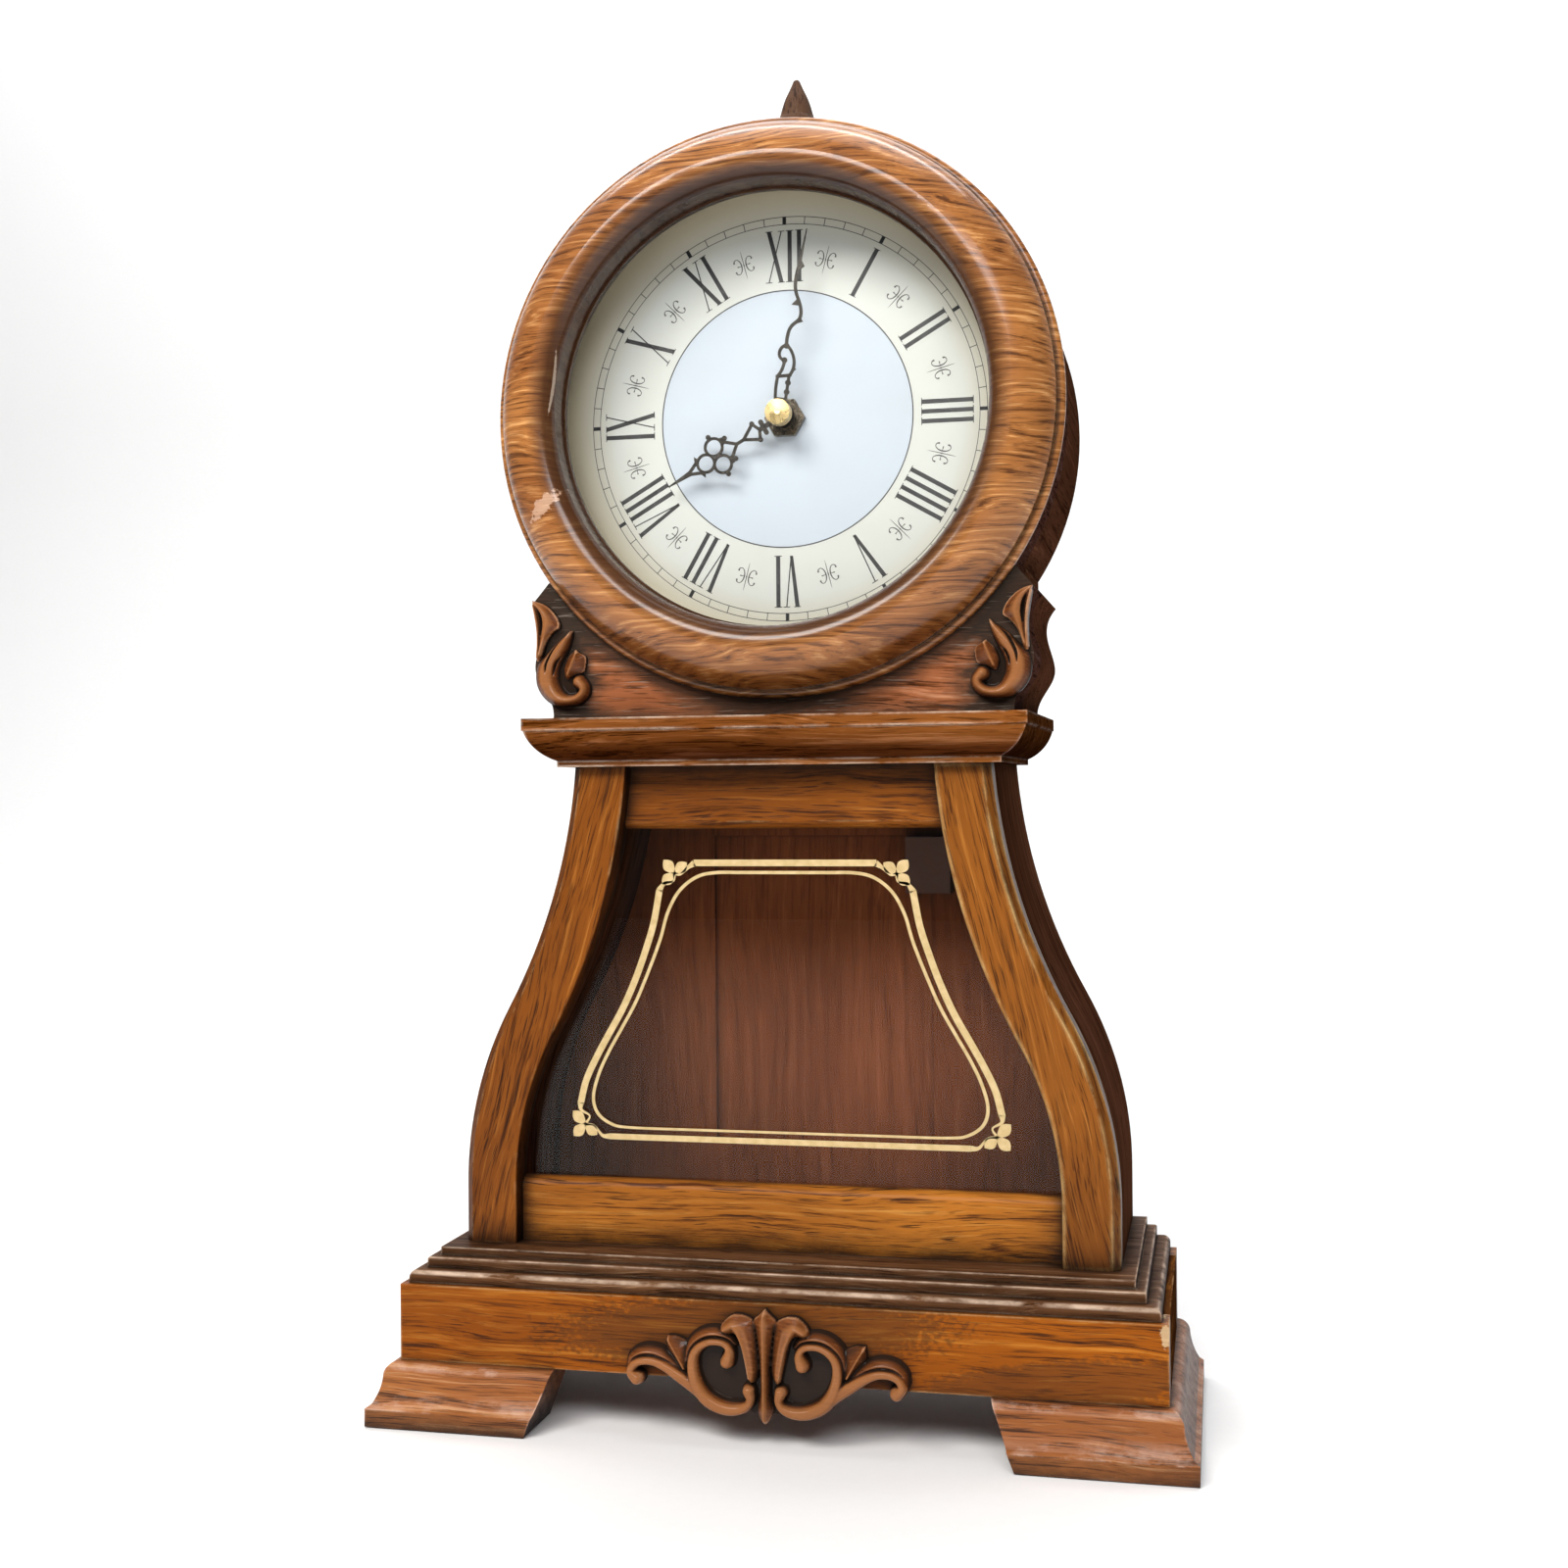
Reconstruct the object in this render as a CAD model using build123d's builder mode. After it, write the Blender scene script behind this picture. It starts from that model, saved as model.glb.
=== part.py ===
import os
from math import acos, asin, atan2, cos, pi, radians, sin, sqrt, tan

from build123d import *

os.makedirs("parts", exist_ok=True)

# Case, from the table upward
case_depth = 100.0
plinth_half = 125.0
plinth_height = 25.0
plinth_board = 12.0
plinth_floor = 4.0
foot_height = 20.0
foot_reach = 9.0
foot_board = 16.0
foot_band = 5.8
foot_step = 1.6
foot_step_rise = 1.0
foot_round = 4.4
foot_cove_sag = 0.6
foot_inner = 78.8
foot_slant = 7.7
lower_inset = 2.2
lower_height = 4.2
lower_round = 2.4
upper_inset = 6.8
upper_height = 3.5
upper_edge = 0.8
top_inset = 10.2
top_height = 2.7

# Waist with its two S-shaped sides
waist_height = 160.6
waist_inset = 15.2
neck_inset = 55.5
waist_straight = 19.0
low_radius = 126.0
high_radius = 200.0
column_setback = 19.5
column_width = 18.3
column_thick = 10.0
column_bevel = 2.5
column_edge = 0.8
side_thick = 8.0
rail_thick = 4.0
top_rail_height = 18.6
bottom_rail_height = 18.1
rail_bead = 3.6
top_rail_bead = 2.4
window_thick = 2.0
window_margin = 1.0
strip_size = 5.0
glue_gap = 0.1

# Rear panel of the waist and its door
panel_thick = 4.0
panel_recess = 3.0
door_side_room = 26.1
door_gap = 0.6
door_low = 20.0
door_height = 118.8
door_lap = 3.0
door_rest = 0.2
lip_thick = 2.0
hinge_knuckle = 1.5
hinge_pin = 0.7
hinge_fit = 0.06
hinge_leaf = 0.8
hinge_reach = 9.0
hinge_length = 24.0
hinge_third_gap = 0.2
hinge_inset = 12.0
catch_length = 20.0
catch_depth = 8.0
catch_reach = 8.0
strike_thick = 0.8
strike_reach = 9.0
pull_width = 12.0
pull_height = 22.0
pull_thick = 0.8
pull_rise = 2.6
pull_inset = 3.0

# Shelf and shoulders
shelf_overhang = 13.9
shelf_setback = 6.0
shelf_thick = 16.0
shelf_lip = 4.0
shelf_under = 9.2
shelf_foot = 2.0
shelf_quirk = 0.4
shelf_bulge = 3.6
shoulder_rise = 47.0
shoulder_top_half = 78.4
shoulder_tuck = 21.0

# Round head
drum_rise = 100.8
drum_radius = 93.6
drum_wall = 10.0
face_setback = 22.0
face_thick = 25.0
dial_setback = 38.3
dial_opening_radius = 79.5
dial_radius = 84.2
dial_thick = 1.0
dial_clearance = 0.3
bezel_radius = 95.2
bezel_inner = 72.0
bezel_lip = 71.3
bezel_lip_depth = 2.2
bezel_bead = 1.85
bezel_groove = 1.0
bezel_crest_radius = 80.0
bezel_crest_rise = 17.8
bezel_shoulder_rise = 7.0
bezel_mouth_rise = 12.8
slope_out = 0.58
slope_down = 0.34
roll_in = 0.78
roll_down = 0.36
glass_radius = 75.6
glass_thick = 2.0
glass_gap = 0.2
ring_inner = 72.6
ring_thick = 2.0
back_ledge = 4.0
access_half_width = 60.0
access_half_height = 35.0
access_corner = 10.0
back_screw_radius = 1.0
back_head_radius = 2.2
back_head_height = 1.2
back_screw_length = 12.0
dial_screw_radius = 0.8
dial_head_radius = 1.7
dial_head_height = 1.0
dial_screw_length = 7.0
screw_clearance = 0.1
finial_setback = 59.0
finial_height = 28.4
finial_collar = 7.0
finial_collar_height = 2.0
finial_neck = 3.6
finial_neck_rise = 4.6
finial_ball = 7.2
finial_ball_rise = 10.4
finial_root = 6.0
finial_root_rise = 15.0
finial_spire = 4.0
finial_spire_rise = 21.4
finial_nose = 1.5
finial_nose_drop = 1.5
finial_dowel = 2.4
finial_dowel_length = 8.0

# Hands and their arbors
rest_minute = 1.5
rest_hour = 8
hand_thick = 0.5
nut_front_setback = 24.3
nut_height = 4.9
nut_radius = 4.2
nut_cone = 1.6
boss_share = 0.97
minute_length = 61.7
hour_length = 45.4
minute_wire = 1.0
minute_shaft = 1.1
minute_bead = 0.95
hour_bar = 1.6
hour_neck = 1.1
hour_wire = 1.05
hour_bead = 0.85
hour_boss = 1.3
hour_loop = 3.45
hour_loop_hole = 2.5
hour_hand_drop = 2.5
arbor_radius = 1.5
tube_radius = 2.5
running_gap = 0.06
bush_radius = 4.0
bush_flange_radius = 7.0
bush_flange = 1.0
bush_front_setback = 34.0
fixing_nut_flats = 12.0
fixing_nut_height = 2.7

# Chiming quartz module
module_half_width = 68.0
module_half_height = 38.0
module_depth = 24.7
module_wall = 1.6
module_split = 12.7
gear_pressure = 28.0
tooth_play = 0.07
addendum = 0.9
dedendum = 1.2
motion_module = 0.5
cannon_teeth = 12
motion_teeth = 36
motion_pinion_teeth = 10
hour_teeth = 40
train_module = 0.4
centre_teeth = 60
motor_teeth = 10
hour_gear_depth = 5.3
gear_thick = 1.8
gear_step = 1.2
post_radius = 1.0
pillar_radius = 2.0
pillar_span = 26.0
plate_half = 30.0
plate_thick = 1.2
plate_depth = 15.7
knob_radius = 7.0
knob_height = 4.6
knob_gap = 0.4
motor_width = 22.0
motor_half_height = 10.0
motor_gap = 1.2
board_width = 26.0
board_half_height = 33.0
board_thick = 1.6
board_stand = 3.0
chip_size = 9.0
chip_height = 1.5
tray_width = 32.0
tray_half_height = 27.6
tray_wall = 1.2
cell_radius = 7.25
cell_half_length = 24.6
cell_nub_radius = 2.7
cell_nub = 1.3
cell_gap = 0.4
switch_travel = 5.0
switch_x = 46.0
switch_rise = 20.0
switch_width = 5.0
switch_height = 3.4
switch_gap = 0.2
switch_cap = 1.5
switch_overlap = 2.0

# Speaker behind the lower half of the drum
speaker_drop = 60.0
speaker_radius = 21.5
speaker_flange = 3.6
speaker_flange_thick = 1.6
speaker_depth = 10.0
speaker_skin = 1.2
magnet_radius = 11.0
magnet_thick = 5.0
cone_skin = 0.7
cone_cap_radius = 4.5
grille_slot = 2.4
grille_pitch = 6.0

# Carved ornaments
base_carving_thick = 6.5
shoulder_carving_thick = 5.0
base_carving_below_top = 1.0

# Outlines of the ornaments, as half widths and heights above the shelf or drops below the carving's top
shoulder_curve = [(77.8, 0), (78.6, 6.0), (84.0, 16.3), (81.6, 28.5), (84.6, 39.8)]
leaf_scroll = [(84.2, 40.4), (81.5, 30.0), (83.8, 17.0), (78.4, 6.3), (71.5, 4.6), (65.2, 9.5), (65.6, 15.6)]
leaf_ball = [(65.6, 15.6), (63.8, 19.5), (65.2, 23.6)]
leaf_small = [(65.2, 23.6), (68.3, 25.3), (71.6, 25.2)]
leaf_middle = [(71.6, 25.2), (72.2, 28.0), (73.0, 31.2)]
leaf_notch = (75.4, 32.0)
leaf_tall = [(75.4, 32.0), (77.6, 36.6), (81.0, 40.0), (84.2, 40.4)]
spear_shoulder = (4.2, 3.2)
fan_edge = [(4.2, 3.2), (9.0, 2.7), (14.0, 6.4), (16.5, 8.0)]
scroll_edge = [(16.5, 8.0), (21.5, 10.2), (24.8, 13.0)]
spike_tip = (31.0, 10.6)
arm_edge = [(33.3, 15.4), (39.0, 14.4), (44.5, 16.4), (46.6, 21.5), (44.2, 26.6), (40.0, 25.8), (37.2, 23.8)]
under_edge = [(37.2, 23.8), (31.0, 25.8), (22.0, 32.2), (13.0, 35.0), (4.0, 33.2)]
spear_point = (0, 36.4)

waist_low_half = plinth_half - waist_inset
waist_neck_half = plinth_half - neck_inset
shelf_half = waist_neck_half + shelf_overhang
door_half = waist_neck_half - door_side_room
plinth_front = (foot_reach - case_depth) / 2
case_rear = plinth_front + case_depth
plinth_top = foot_height + plinth_height
lower_top = plinth_top + lower_height
upper_top = lower_top + upper_height
base_top = upper_top + top_height
waist_top = base_top + waist_height
shelf_top = waist_top + shelf_thick
drum_z = shelf_top + drum_rise
column_front = plinth_front + column_setback
column_rear = column_front + column_thick
rail_front = column_rear - rail_thick
window_rear = column_rear + window_thick
panel_front = case_rear - panel_recess - panel_thick
panel_rear = case_rear - panel_recess
lip_front = panel_front - lip_thick
shelf_front = plinth_front + shelf_setback
face_front = plinth_front + face_setback
face_rear = face_front + face_thick
dial_front = plinth_front + dial_setback
dial_rear = dial_front + dial_thick
bore_radius = drum_radius - drum_wall
reach = 2 * plinth_half

straight_top = base_top + waist_straight
low_centre = waist_low_half - low_radius
high_centre = waist_neck_half + high_radius
high_z = straight_top + sqrt((low_radius + high_radius) ** 2 - (high_centre - low_centre) ** 2)
joining_angle = atan2(high_z - straight_top, high_centre - low_centre)


def facing(y):
    return Plane.XZ.offset(-y)


def turned(x, y, z, angle):
    return Plane(origin=(x, y, z), x_dir=(cos(angle), 0, sin(angle)), z_dir=(0, -1, 0))


def slab(x_low, x_high, y_low, y_high):
    with BuildSketch() as area:
        with Locations(((x_low + x_high) / 2, (y_low + y_high) / 2)):
            Rectangle(x_high - x_low, y_high - y_low)
    return area.sketch


def foot_face(face, outward, inner_low, inner_high):
    band = (face + outward * foot_reach, foot_band)
    step = (face + outward * (foot_reach - foot_step), foot_band + foot_step_rise)
    cove_top = (face + outward * foot_round, foot_height - foot_round)
    cove_x = (step[0] + cove_top[0]) / 2 - outward * foot_cove_sag
    cove_mid = (cove_x, (step[1] + cove_top[1]) / 2)
    round_mid = (face + outward * foot_round * cos(pi / 4), foot_height - foot_round * (1 - sin(pi / 4)))
    with BuildSketch() as area:
        with BuildLine():
            Polyline((inner_low, 0), (face + outward * foot_reach, 0), band, step)
            ThreePointArc(step, cove_mid, cove_top)
            ThreePointArc(cove_top, round_mid, (face, foot_height))
            Polyline((face, foot_height), (inner_high, foot_height), (inner_low, 0))
        make_face()
    return area.sketch


def waist_points(inset):
    low_r = low_radius - inset
    high_r = high_radius + inset
    top_angle = asin((high_z - waist_top) / high_r)
    mid_angle = (joining_angle + top_angle) / 2
    half = joining_angle / 2
    return [
        (waist_low_half - inset, base_top),
        (waist_low_half - inset, straight_top),
        (low_centre + low_r * cos(half), straight_top + low_r * sin(half)),
        (low_centre + low_r * cos(joining_angle), straight_top + low_r * sin(joining_angle)),
        (high_centre - high_r * cos(mid_angle), high_z - high_r * sin(mid_angle)),
        (high_centre - high_r * cos(top_angle), waist_top),
    ]


def waist_x(z, inset):
    join_z = straight_top + (low_radius - inset) * sin(joining_angle)
    if z <= straight_top:
        return waist_low_half - inset
    if z <= join_z:
        return low_centre + sqrt((low_radius - inset) ** 2 - (z - straight_top) ** 2)
    return high_centre - sqrt((high_radius + inset) ** 2 - (high_z - z) ** 2)


def waist_strip(width):
    outer = waist_points(0)
    inner = waist_points(width)
    with BuildSketch() as area:
        with BuildLine():
            Line(outer[0], outer[1])
            ThreePointArc(outer[1], outer[2], outer[3])
            ThreePointArc(outer[3], outer[4], outer[5])
            Line(outer[5], inner[5])
            ThreePointArc(inner[5], inner[4], inner[3])
            ThreePointArc(inner[3], inner[2], inner[1])
            Line(inner[1], inner[0])
            Line(inner[0], outer[0])
        make_face()
    return area.sketch


def waist_bell(inset):
    right = waist_points(inset)
    left = [(-x, z) for x, z in right]
    with BuildSketch() as area:
        with BuildLine():
            Line(left[0], right[0])
            Line(right[0], right[1])
            ThreePointArc(right[1], right[2], right[3])
            ThreePointArc(right[3], right[4], right[5])
            Line(right[5], left[5])
            ThreePointArc(left[5], left[4], left[3])
            ThreePointArc(left[3], left[2], left[1])
            Line(left[1], left[0])
        make_face()
    return area.sketch


def shelf_face(edge, inward, far):
    foot_top = waist_top + shelf_foot
    lip_low = shelf_top - shelf_lip
    under = edge + inward * shelf_under
    quirk = (edge + inward * shelf_quirk, lip_low)
    bulge = (edge + inward * shelf_bulge, (foot_top + lip_low) / 2 - shelf_foot / 2)
    with BuildSketch() as area:
        with BuildLine():
            Polyline((far, waist_top), (under, waist_top), (under, foot_top))
            ThreePointArc((under, foot_top), bulge, quirk)
            Polyline(quirk, (edge, lip_low), (edge, shelf_top), (far, shelf_top), (far, waist_top))
        make_face()
    return area.sketch


def shoulder_face():
    right = [(x, shelf_top + z) for x, z in shoulder_curve]
    left = [(-x, z) for x, z in right]
    corner = shelf_top + shoulder_rise
    tuck = corner + shoulder_tuck
    with BuildSketch() as area:
        with BuildLine():
            Line(left[0], right[0])
            Spline(*right)
            Polyline(right[-1], (shoulder_top_half, corner), (shoulder_top_half, tuck))
            Line((shoulder_top_half, tuck), (-shoulder_top_half, tuck))
            Polyline((-shoulder_top_half, tuck), (-shoulder_top_half, corner), left[-1])
            Spline(*left)
        make_face()
    return area.sketch


def shoulder_leaf_face(side):
    def at(point):
        return (side * point[0], shelf_top + point[1])

    with BuildSketch() as area:
        with BuildLine():
            for stretch in (leaf_scroll, leaf_ball, leaf_small, leaf_middle, leaf_tall):
                Spline(*[at(point) for point in stretch])
            Line(at(leaf_middle[-1]), at(leaf_notch))
        make_face()
    return area.sketch


def base_leaf_face():
    top = plinth_top - base_carving_below_top

    def at(side, point):
        return (side * point[0], top - point[1])

    with BuildSketch() as area:
        with BuildLine():
            for side in (1, -1):
                Line(at(side, (0, 0)), at(side, spear_shoulder))
                for stretch in (fan_edge, scroll_edge, arm_edge, under_edge):
                    Spline(*[at(side, point) for point in stretch])
                Line(at(side, scroll_edge[-1]), at(side, spike_tip))
                Line(at(side, spike_tip), at(side, arm_edge[0]))
                Line(at(side, under_edge[-1]), at(side, spear_point))
        make_face()
    return area.sketch


def along(length, *shares):
    return [(length * ahead, length * aside) for ahead, aside in shares]


def strut(start, end, width):
    run = sqrt((end[0] - start[0]) ** 2 + (end[1] - start[1]) ** 2)
    x = (start[1] - end[1]) / run * width / 2
    y = (end[0] - start[0]) / run * width / 2
    corners = [
        (start[0] + x, start[1] + y),
        (end[0] + x, end[1] + y),
        (end[0] - x, end[1] - y),
        (start[0] - x, start[1] - y),
    ]
    with BuildSketch() as area:
        Polygon(*corners, align=None)
    return area.sketch


def involute(angle):
    return tan(angle) - angle


def gear_face(teeth, module, phase):
    pitch = teeth * module / 2
    base = pitch * cos(radians(gear_pressure))
    tip = pitch + addendum * module
    root = pitch - dedendum * module
    half_tooth = pi / (2 * teeth) - tooth_play / (2 * pitch)
    start = max(base, root)
    radii = [root, (start + pitch) / 2, pitch, (pitch + tip) / 2, tip]
    spread = half_tooth + involute(radians(gear_pressure))
    widths = []
    for r in radii:
        roll = involute(acos(base / r)) if r > base else 0.0
        widths.append((r, spread - roll))
    points = []
    for tooth in range(teeth):
        middle = phase + 2 * pi * tooth / teeth
        points += [(r * cos(middle - w), r * sin(middle - w)) for r, w in widths]
        points += [(r * cos(middle + w), r * sin(middle + w)) for r, w in reversed(widths)]
    with BuildSketch() as area:
        with BuildLine():
            Polyline(*points, close=True)
        make_face()
    return area.sketch


# Base

with BuildPart() as right_foot:
    with BuildSketch(Plane.YZ):
        add(foot_face(plinth_front, -1, case_rear, case_rear))
    extrude(amount=reach)
    with BuildSketch(facing(plinth_front - foot_reach)):
        add(foot_face(plinth_half, 1, foot_inner, foot_inner - foot_slant))
    extrude(amount=-(case_depth + foot_reach), mode=Mode.INTERSECT)
    with BuildSketch(Plane.XY):
        add(slab(0, plinth_half - foot_board, plinth_front + foot_board, case_rear))
    extrude(amount=foot_height, mode=Mode.SUBTRACT)

with BuildPart() as left_foot:
    mirror(right_foot.part, about=Plane.YZ)

with BuildPart() as plinth_front_board:
    with BuildSketch(Plane.XY.offset(foot_height)):
        add(slab(-plinth_half, plinth_half, plinth_front, plinth_front + plinth_board))
    extrude(amount=plinth_height)

with BuildPart() as plinth_back_board:
    with BuildSketch(Plane.XY.offset(foot_height)):
        add(slab(-plinth_half, plinth_half, case_rear - plinth_board, case_rear))
    extrude(amount=plinth_height)

with BuildPart() as plinth_right_board:
    with BuildSketch(Plane.XY.offset(foot_height)):
        board_edge = plinth_half - plinth_board
        add(slab(board_edge, plinth_half, plinth_front + plinth_board, case_rear - plinth_board))
    extrude(amount=plinth_height)

with BuildPart() as plinth_left_board:
    mirror(plinth_right_board.part, about=Plane.YZ)

with BuildPart() as plinth_bottom:
    with BuildSketch(Plane.XY.offset(foot_height)):
        add(
            slab(
                plinth_board - plinth_half,
                plinth_half - plinth_board,
                plinth_front + plinth_board,
                case_rear - plinth_board,
            )
        )
    extrude(amount=plinth_floor)

with BuildPart() as base_lower_moulding:
    with BuildSketch(Plane.XY.offset(plinth_top)):
        add(slab(lower_inset - plinth_half, plinth_half - lower_inset, plinth_front + lower_inset, case_rear))
    extrude(amount=lower_height)
    fillet(base_lower_moulding.edges().group_by(Axis.Z)[-1].sort_by(Axis.Y)[:-1], lower_round)

with BuildPart() as base_upper_moulding:
    with BuildSketch(Plane.XY.offset(lower_top)):
        add(slab(upper_inset - plinth_half, plinth_half - upper_inset, plinth_front + upper_inset, case_rear))
    extrude(amount=upper_height)
    fillet(base_upper_moulding.edges().group_by(Axis.Z)[-1].sort_by(Axis.Y)[:-1], upper_edge)
    with BuildSketch(Plane.XY.offset(upper_top)):
        add(slab(top_inset - plinth_half, plinth_half - top_inset, plinth_front + top_inset, case_rear))
    extrude(amount=top_height)

with BuildPart() as base_carving:
    with BuildSketch(facing(plinth_front)):
        add(base_leaf_face())
    extrude(amount=base_carving_thick)

# Waist

with BuildPart() as right_column:
    with BuildSketch(facing(column_front)):
        add(waist_strip(column_width))
    extrude(amount=-column_thick)
    front_edges = right_column.edges().group_by(Axis.Y)[0]
    outer_edges = front_edges.filter_by(lambda e: abs(e.center().X - waist_x(e.center().Z, 0)) < column_bevel)
    inner_edges = front_edges.filter_by(
        lambda e: abs(e.center().X - waist_x(e.center().Z, column_width)) < column_bevel
    )
    chamfer(outer_edges, column_bevel)
    fillet(inner_edges, column_edge)

with BuildPart() as left_column:
    mirror(right_column.part, about=Plane.YZ)

with BuildPart() as right_side:
    with BuildSketch(facing(column_rear)):
        add(waist_strip(side_thick))
    extrude(amount=-(case_rear - column_rear))

with BuildPart() as left_side:
    mirror(right_side.part, about=Plane.YZ)

with BuildPart() as top_rail:
    rail_low = waist_top - top_rail_height
    with BuildSketch(Plane.YZ):
        with BuildLine():
            Line((column_rear, rail_low - top_rail_bead), (column_rear, waist_top))
            Polyline((column_rear, waist_top), (rail_front, waist_top), (rail_front, rail_low))
            RadiusArc((rail_front, rail_low), (column_rear, rail_low - top_rail_bead), -rail_thick)
        make_face()
    extrude(amount=reach, both=True)
    with BuildSketch(facing(rail_front)):
        add(waist_bell(column_width + glue_gap))
    extrude(amount=-rail_thick, mode=Mode.INTERSECT)

with BuildPart() as bottom_rail:
    rail_high = base_top + bottom_rail_height
    with BuildSketch(Plane.YZ):
        with BuildLine():
            Polyline((column_rear, rail_high + rail_bead), (column_rear, base_top), (rail_front, base_top))
            Line((rail_front, base_top), (rail_front, rail_high))
            RadiusArc((rail_front, rail_high), (column_rear, rail_high + rail_bead), rail_thick)
        make_face()
    extrude(amount=reach, both=True)
    with BuildSketch(facing(rail_front)):
        add(waist_bell(column_width + glue_gap))
    extrude(amount=-rail_thick, mode=Mode.INTERSECT)

with BuildPart() as window_glass:
    with BuildSketch(facing(column_rear)):
        add(waist_bell(side_thick + window_margin))
    extrude(amount=-window_thick)
    with BuildSketch(facing(column_rear)):
        add(slab(-reach, reach, base_top + window_margin, waist_top - window_margin))
    extrude(amount=-window_thick, mode=Mode.INTERSECT)

with BuildPart() as glass_strips:
    low_half = waist_low_half - side_thick - strip_size
    high_half = waist_x(waist_top - strip_size, side_thick) - strip_size
    with BuildSketch(facing(window_rear)):
        add(slab(-low_half, low_half, base_top, base_top + strip_size))
        add(slab(-high_half, high_half, waist_top - strip_size, waist_top))
    extrude(amount=-strip_size)

door_bottom = base_top + door_low
door_top = door_bottom + door_height
hinge_x = -door_half - door_gap / 2
hinge_y = panel_rear + hinge_knuckle
hinge_starts = [door_bottom + hinge_inset, door_top - hinge_inset - hinge_length]
hinge_third = (hinge_length - 2 * hinge_third_gap) / 3
catch_low = door_top - door_lap - door_gap - catch_length
catch_edge = door_half - door_lap - door_gap
door_middle = (door_bottom + door_top) / 2

with BuildPart() as back_panel:
    with BuildSketch(facing(lip_front)):
        add(waist_bell(side_thick + glue_gap))
    extrude(amount=-(panel_rear - lip_front))
    with BuildSketch(facing(lip_front)):
        add(slab(door_lap - door_half, door_half - door_lap, door_bottom + door_lap, door_top - door_lap))
    extrude(amount=-(panel_rear - lip_front), mode=Mode.SUBTRACT)
    with BuildSketch(facing(panel_front - door_rest)):
        add(slab(-door_half - door_gap, door_half + door_gap, door_bottom - door_gap, door_top + door_gap))
    extrude(amount=-(panel_thick + door_rest), mode=Mode.SUBTRACT)

with BuildPart() as rear_door:
    with BuildSketch(facing(panel_front)):
        add(slab(-door_half, door_half, door_bottom, door_top))
    extrude(amount=-panel_thick)

with BuildPart() as door_pull:
    pull_x = door_half - pull_inset
    pull_low = door_middle - pull_height / 2
    with BuildSketch(facing(panel_rear)):
        add(slab(pull_x - pull_width, pull_x, pull_low, pull_low + pull_height))
    extrude(amount=-pull_thick)
    with BuildSketch(facing(panel_rear)):
        add(slab(pull_x - pull_thick, pull_x, pull_low, pull_low + pull_height))
    extrude(amount=-pull_rise)

with BuildPart() as hinge_fixed_leaves:
    for start in hinge_starts:
        with BuildSketch(Plane.XY.offset(start)):
            with Locations((hinge_x, hinge_y)):
                Circle(hinge_pin)
        extrude(amount=hinge_length)
        for low in (start, start + 2 * (hinge_third + hinge_third_gap)):
            with BuildSketch(Plane.XY.offset(low)):
                with Locations((hinge_x, hinge_y)):
                    Circle(hinge_knuckle)
                add(slab(hinge_x - hinge_reach, hinge_x, panel_rear, panel_rear + hinge_leaf))
            extrude(amount=hinge_third)
        with BuildSketch(Plane.XY.offset(start)):
            add(
                slab(
                    hinge_x - hinge_reach,
                    hinge_x - hinge_knuckle - hinge_third_gap,
                    panel_rear,
                    panel_rear + hinge_leaf,
                )
            )
        extrude(amount=hinge_length)

with BuildPart() as hinge_door_leaves:
    for start in hinge_starts:
        with BuildSketch(Plane.XY.offset(start + hinge_third + hinge_third_gap)):
            with Locations((hinge_x, hinge_y)):
                Circle(hinge_knuckle)
            add(slab(hinge_x, hinge_x + hinge_reach, panel_rear, panel_rear + hinge_leaf))
            with Locations((hinge_x, hinge_y)):
                Circle(hinge_pin + hinge_fit, mode=Mode.SUBTRACT)
        extrude(amount=hinge_third)
        with BuildSketch(Plane.XY.offset(start)):
            add(
                slab(
                    hinge_x + hinge_knuckle + hinge_third_gap,
                    hinge_x + hinge_reach,
                    panel_rear,
                    panel_rear + hinge_leaf,
                )
            )
        extrude(amount=hinge_length)

with BuildPart() as door_strike:
    with BuildSketch(facing(panel_front - strike_thick)):
        add(slab(catch_edge - strike_reach, catch_edge, catch_low, catch_low + catch_length))
    extrude(amount=-strike_thick)

with BuildPart() as door_catch:
    catch_rear = panel_front - strike_thick - glue_gap
    catch_front = catch_rear - catch_depth
    with BuildSketch(facing(catch_front)):
        add(slab(catch_edge - catch_reach, catch_edge, catch_low, catch_low + catch_length))
    extrude(amount=-catch_depth)
    with BuildSketch(facing(catch_front)):
        add(slab(catch_edge, catch_edge + catch_reach, catch_low, catch_low + catch_length))
    extrude(amount=-(lip_front - catch_front))

# Shelf and round head

with BuildPart() as shelf:
    with BuildSketch(Plane.YZ):
        add(shelf_face(shelf_front, 1, case_rear))
    extrude(amount=reach, both=True)
    with BuildSketch(facing(shelf_front)):
        add(shelf_face(shelf_half, -1, -reach))
    extrude(amount=-case_depth, mode=Mode.INTERSECT)
    with BuildSketch(facing(shelf_front)):
        add(shelf_face(-shelf_half, 1, reach))
    extrude(amount=-case_depth, mode=Mode.INTERSECT)

with BuildPart() as face_board:
    with BuildSketch(facing(face_front)):
        add(shoulder_face())
        with Locations((0, drum_z)):
            Circle(drum_radius)
            Circle(dial_opening_radius, mode=Mode.SUBTRACT)
    extrude(amount=-face_thick)
    with BuildSketch(facing(dial_front)):
        with Locations((0, drum_z)):
            Circle(dial_radius + dial_clearance)
    extrude(amount=-face_thick, mode=Mode.SUBTRACT)
    with BuildSketch(facing(dial_front)):
        with Locations((0, drum_z)):
            with PolarLocations((dial_opening_radius + dial_radius) / 2, 4, start_angle=45):
                Circle(dial_screw_radius + screw_clearance)
    extrude(amount=dial_screw_length, mode=Mode.SUBTRACT)

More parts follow.
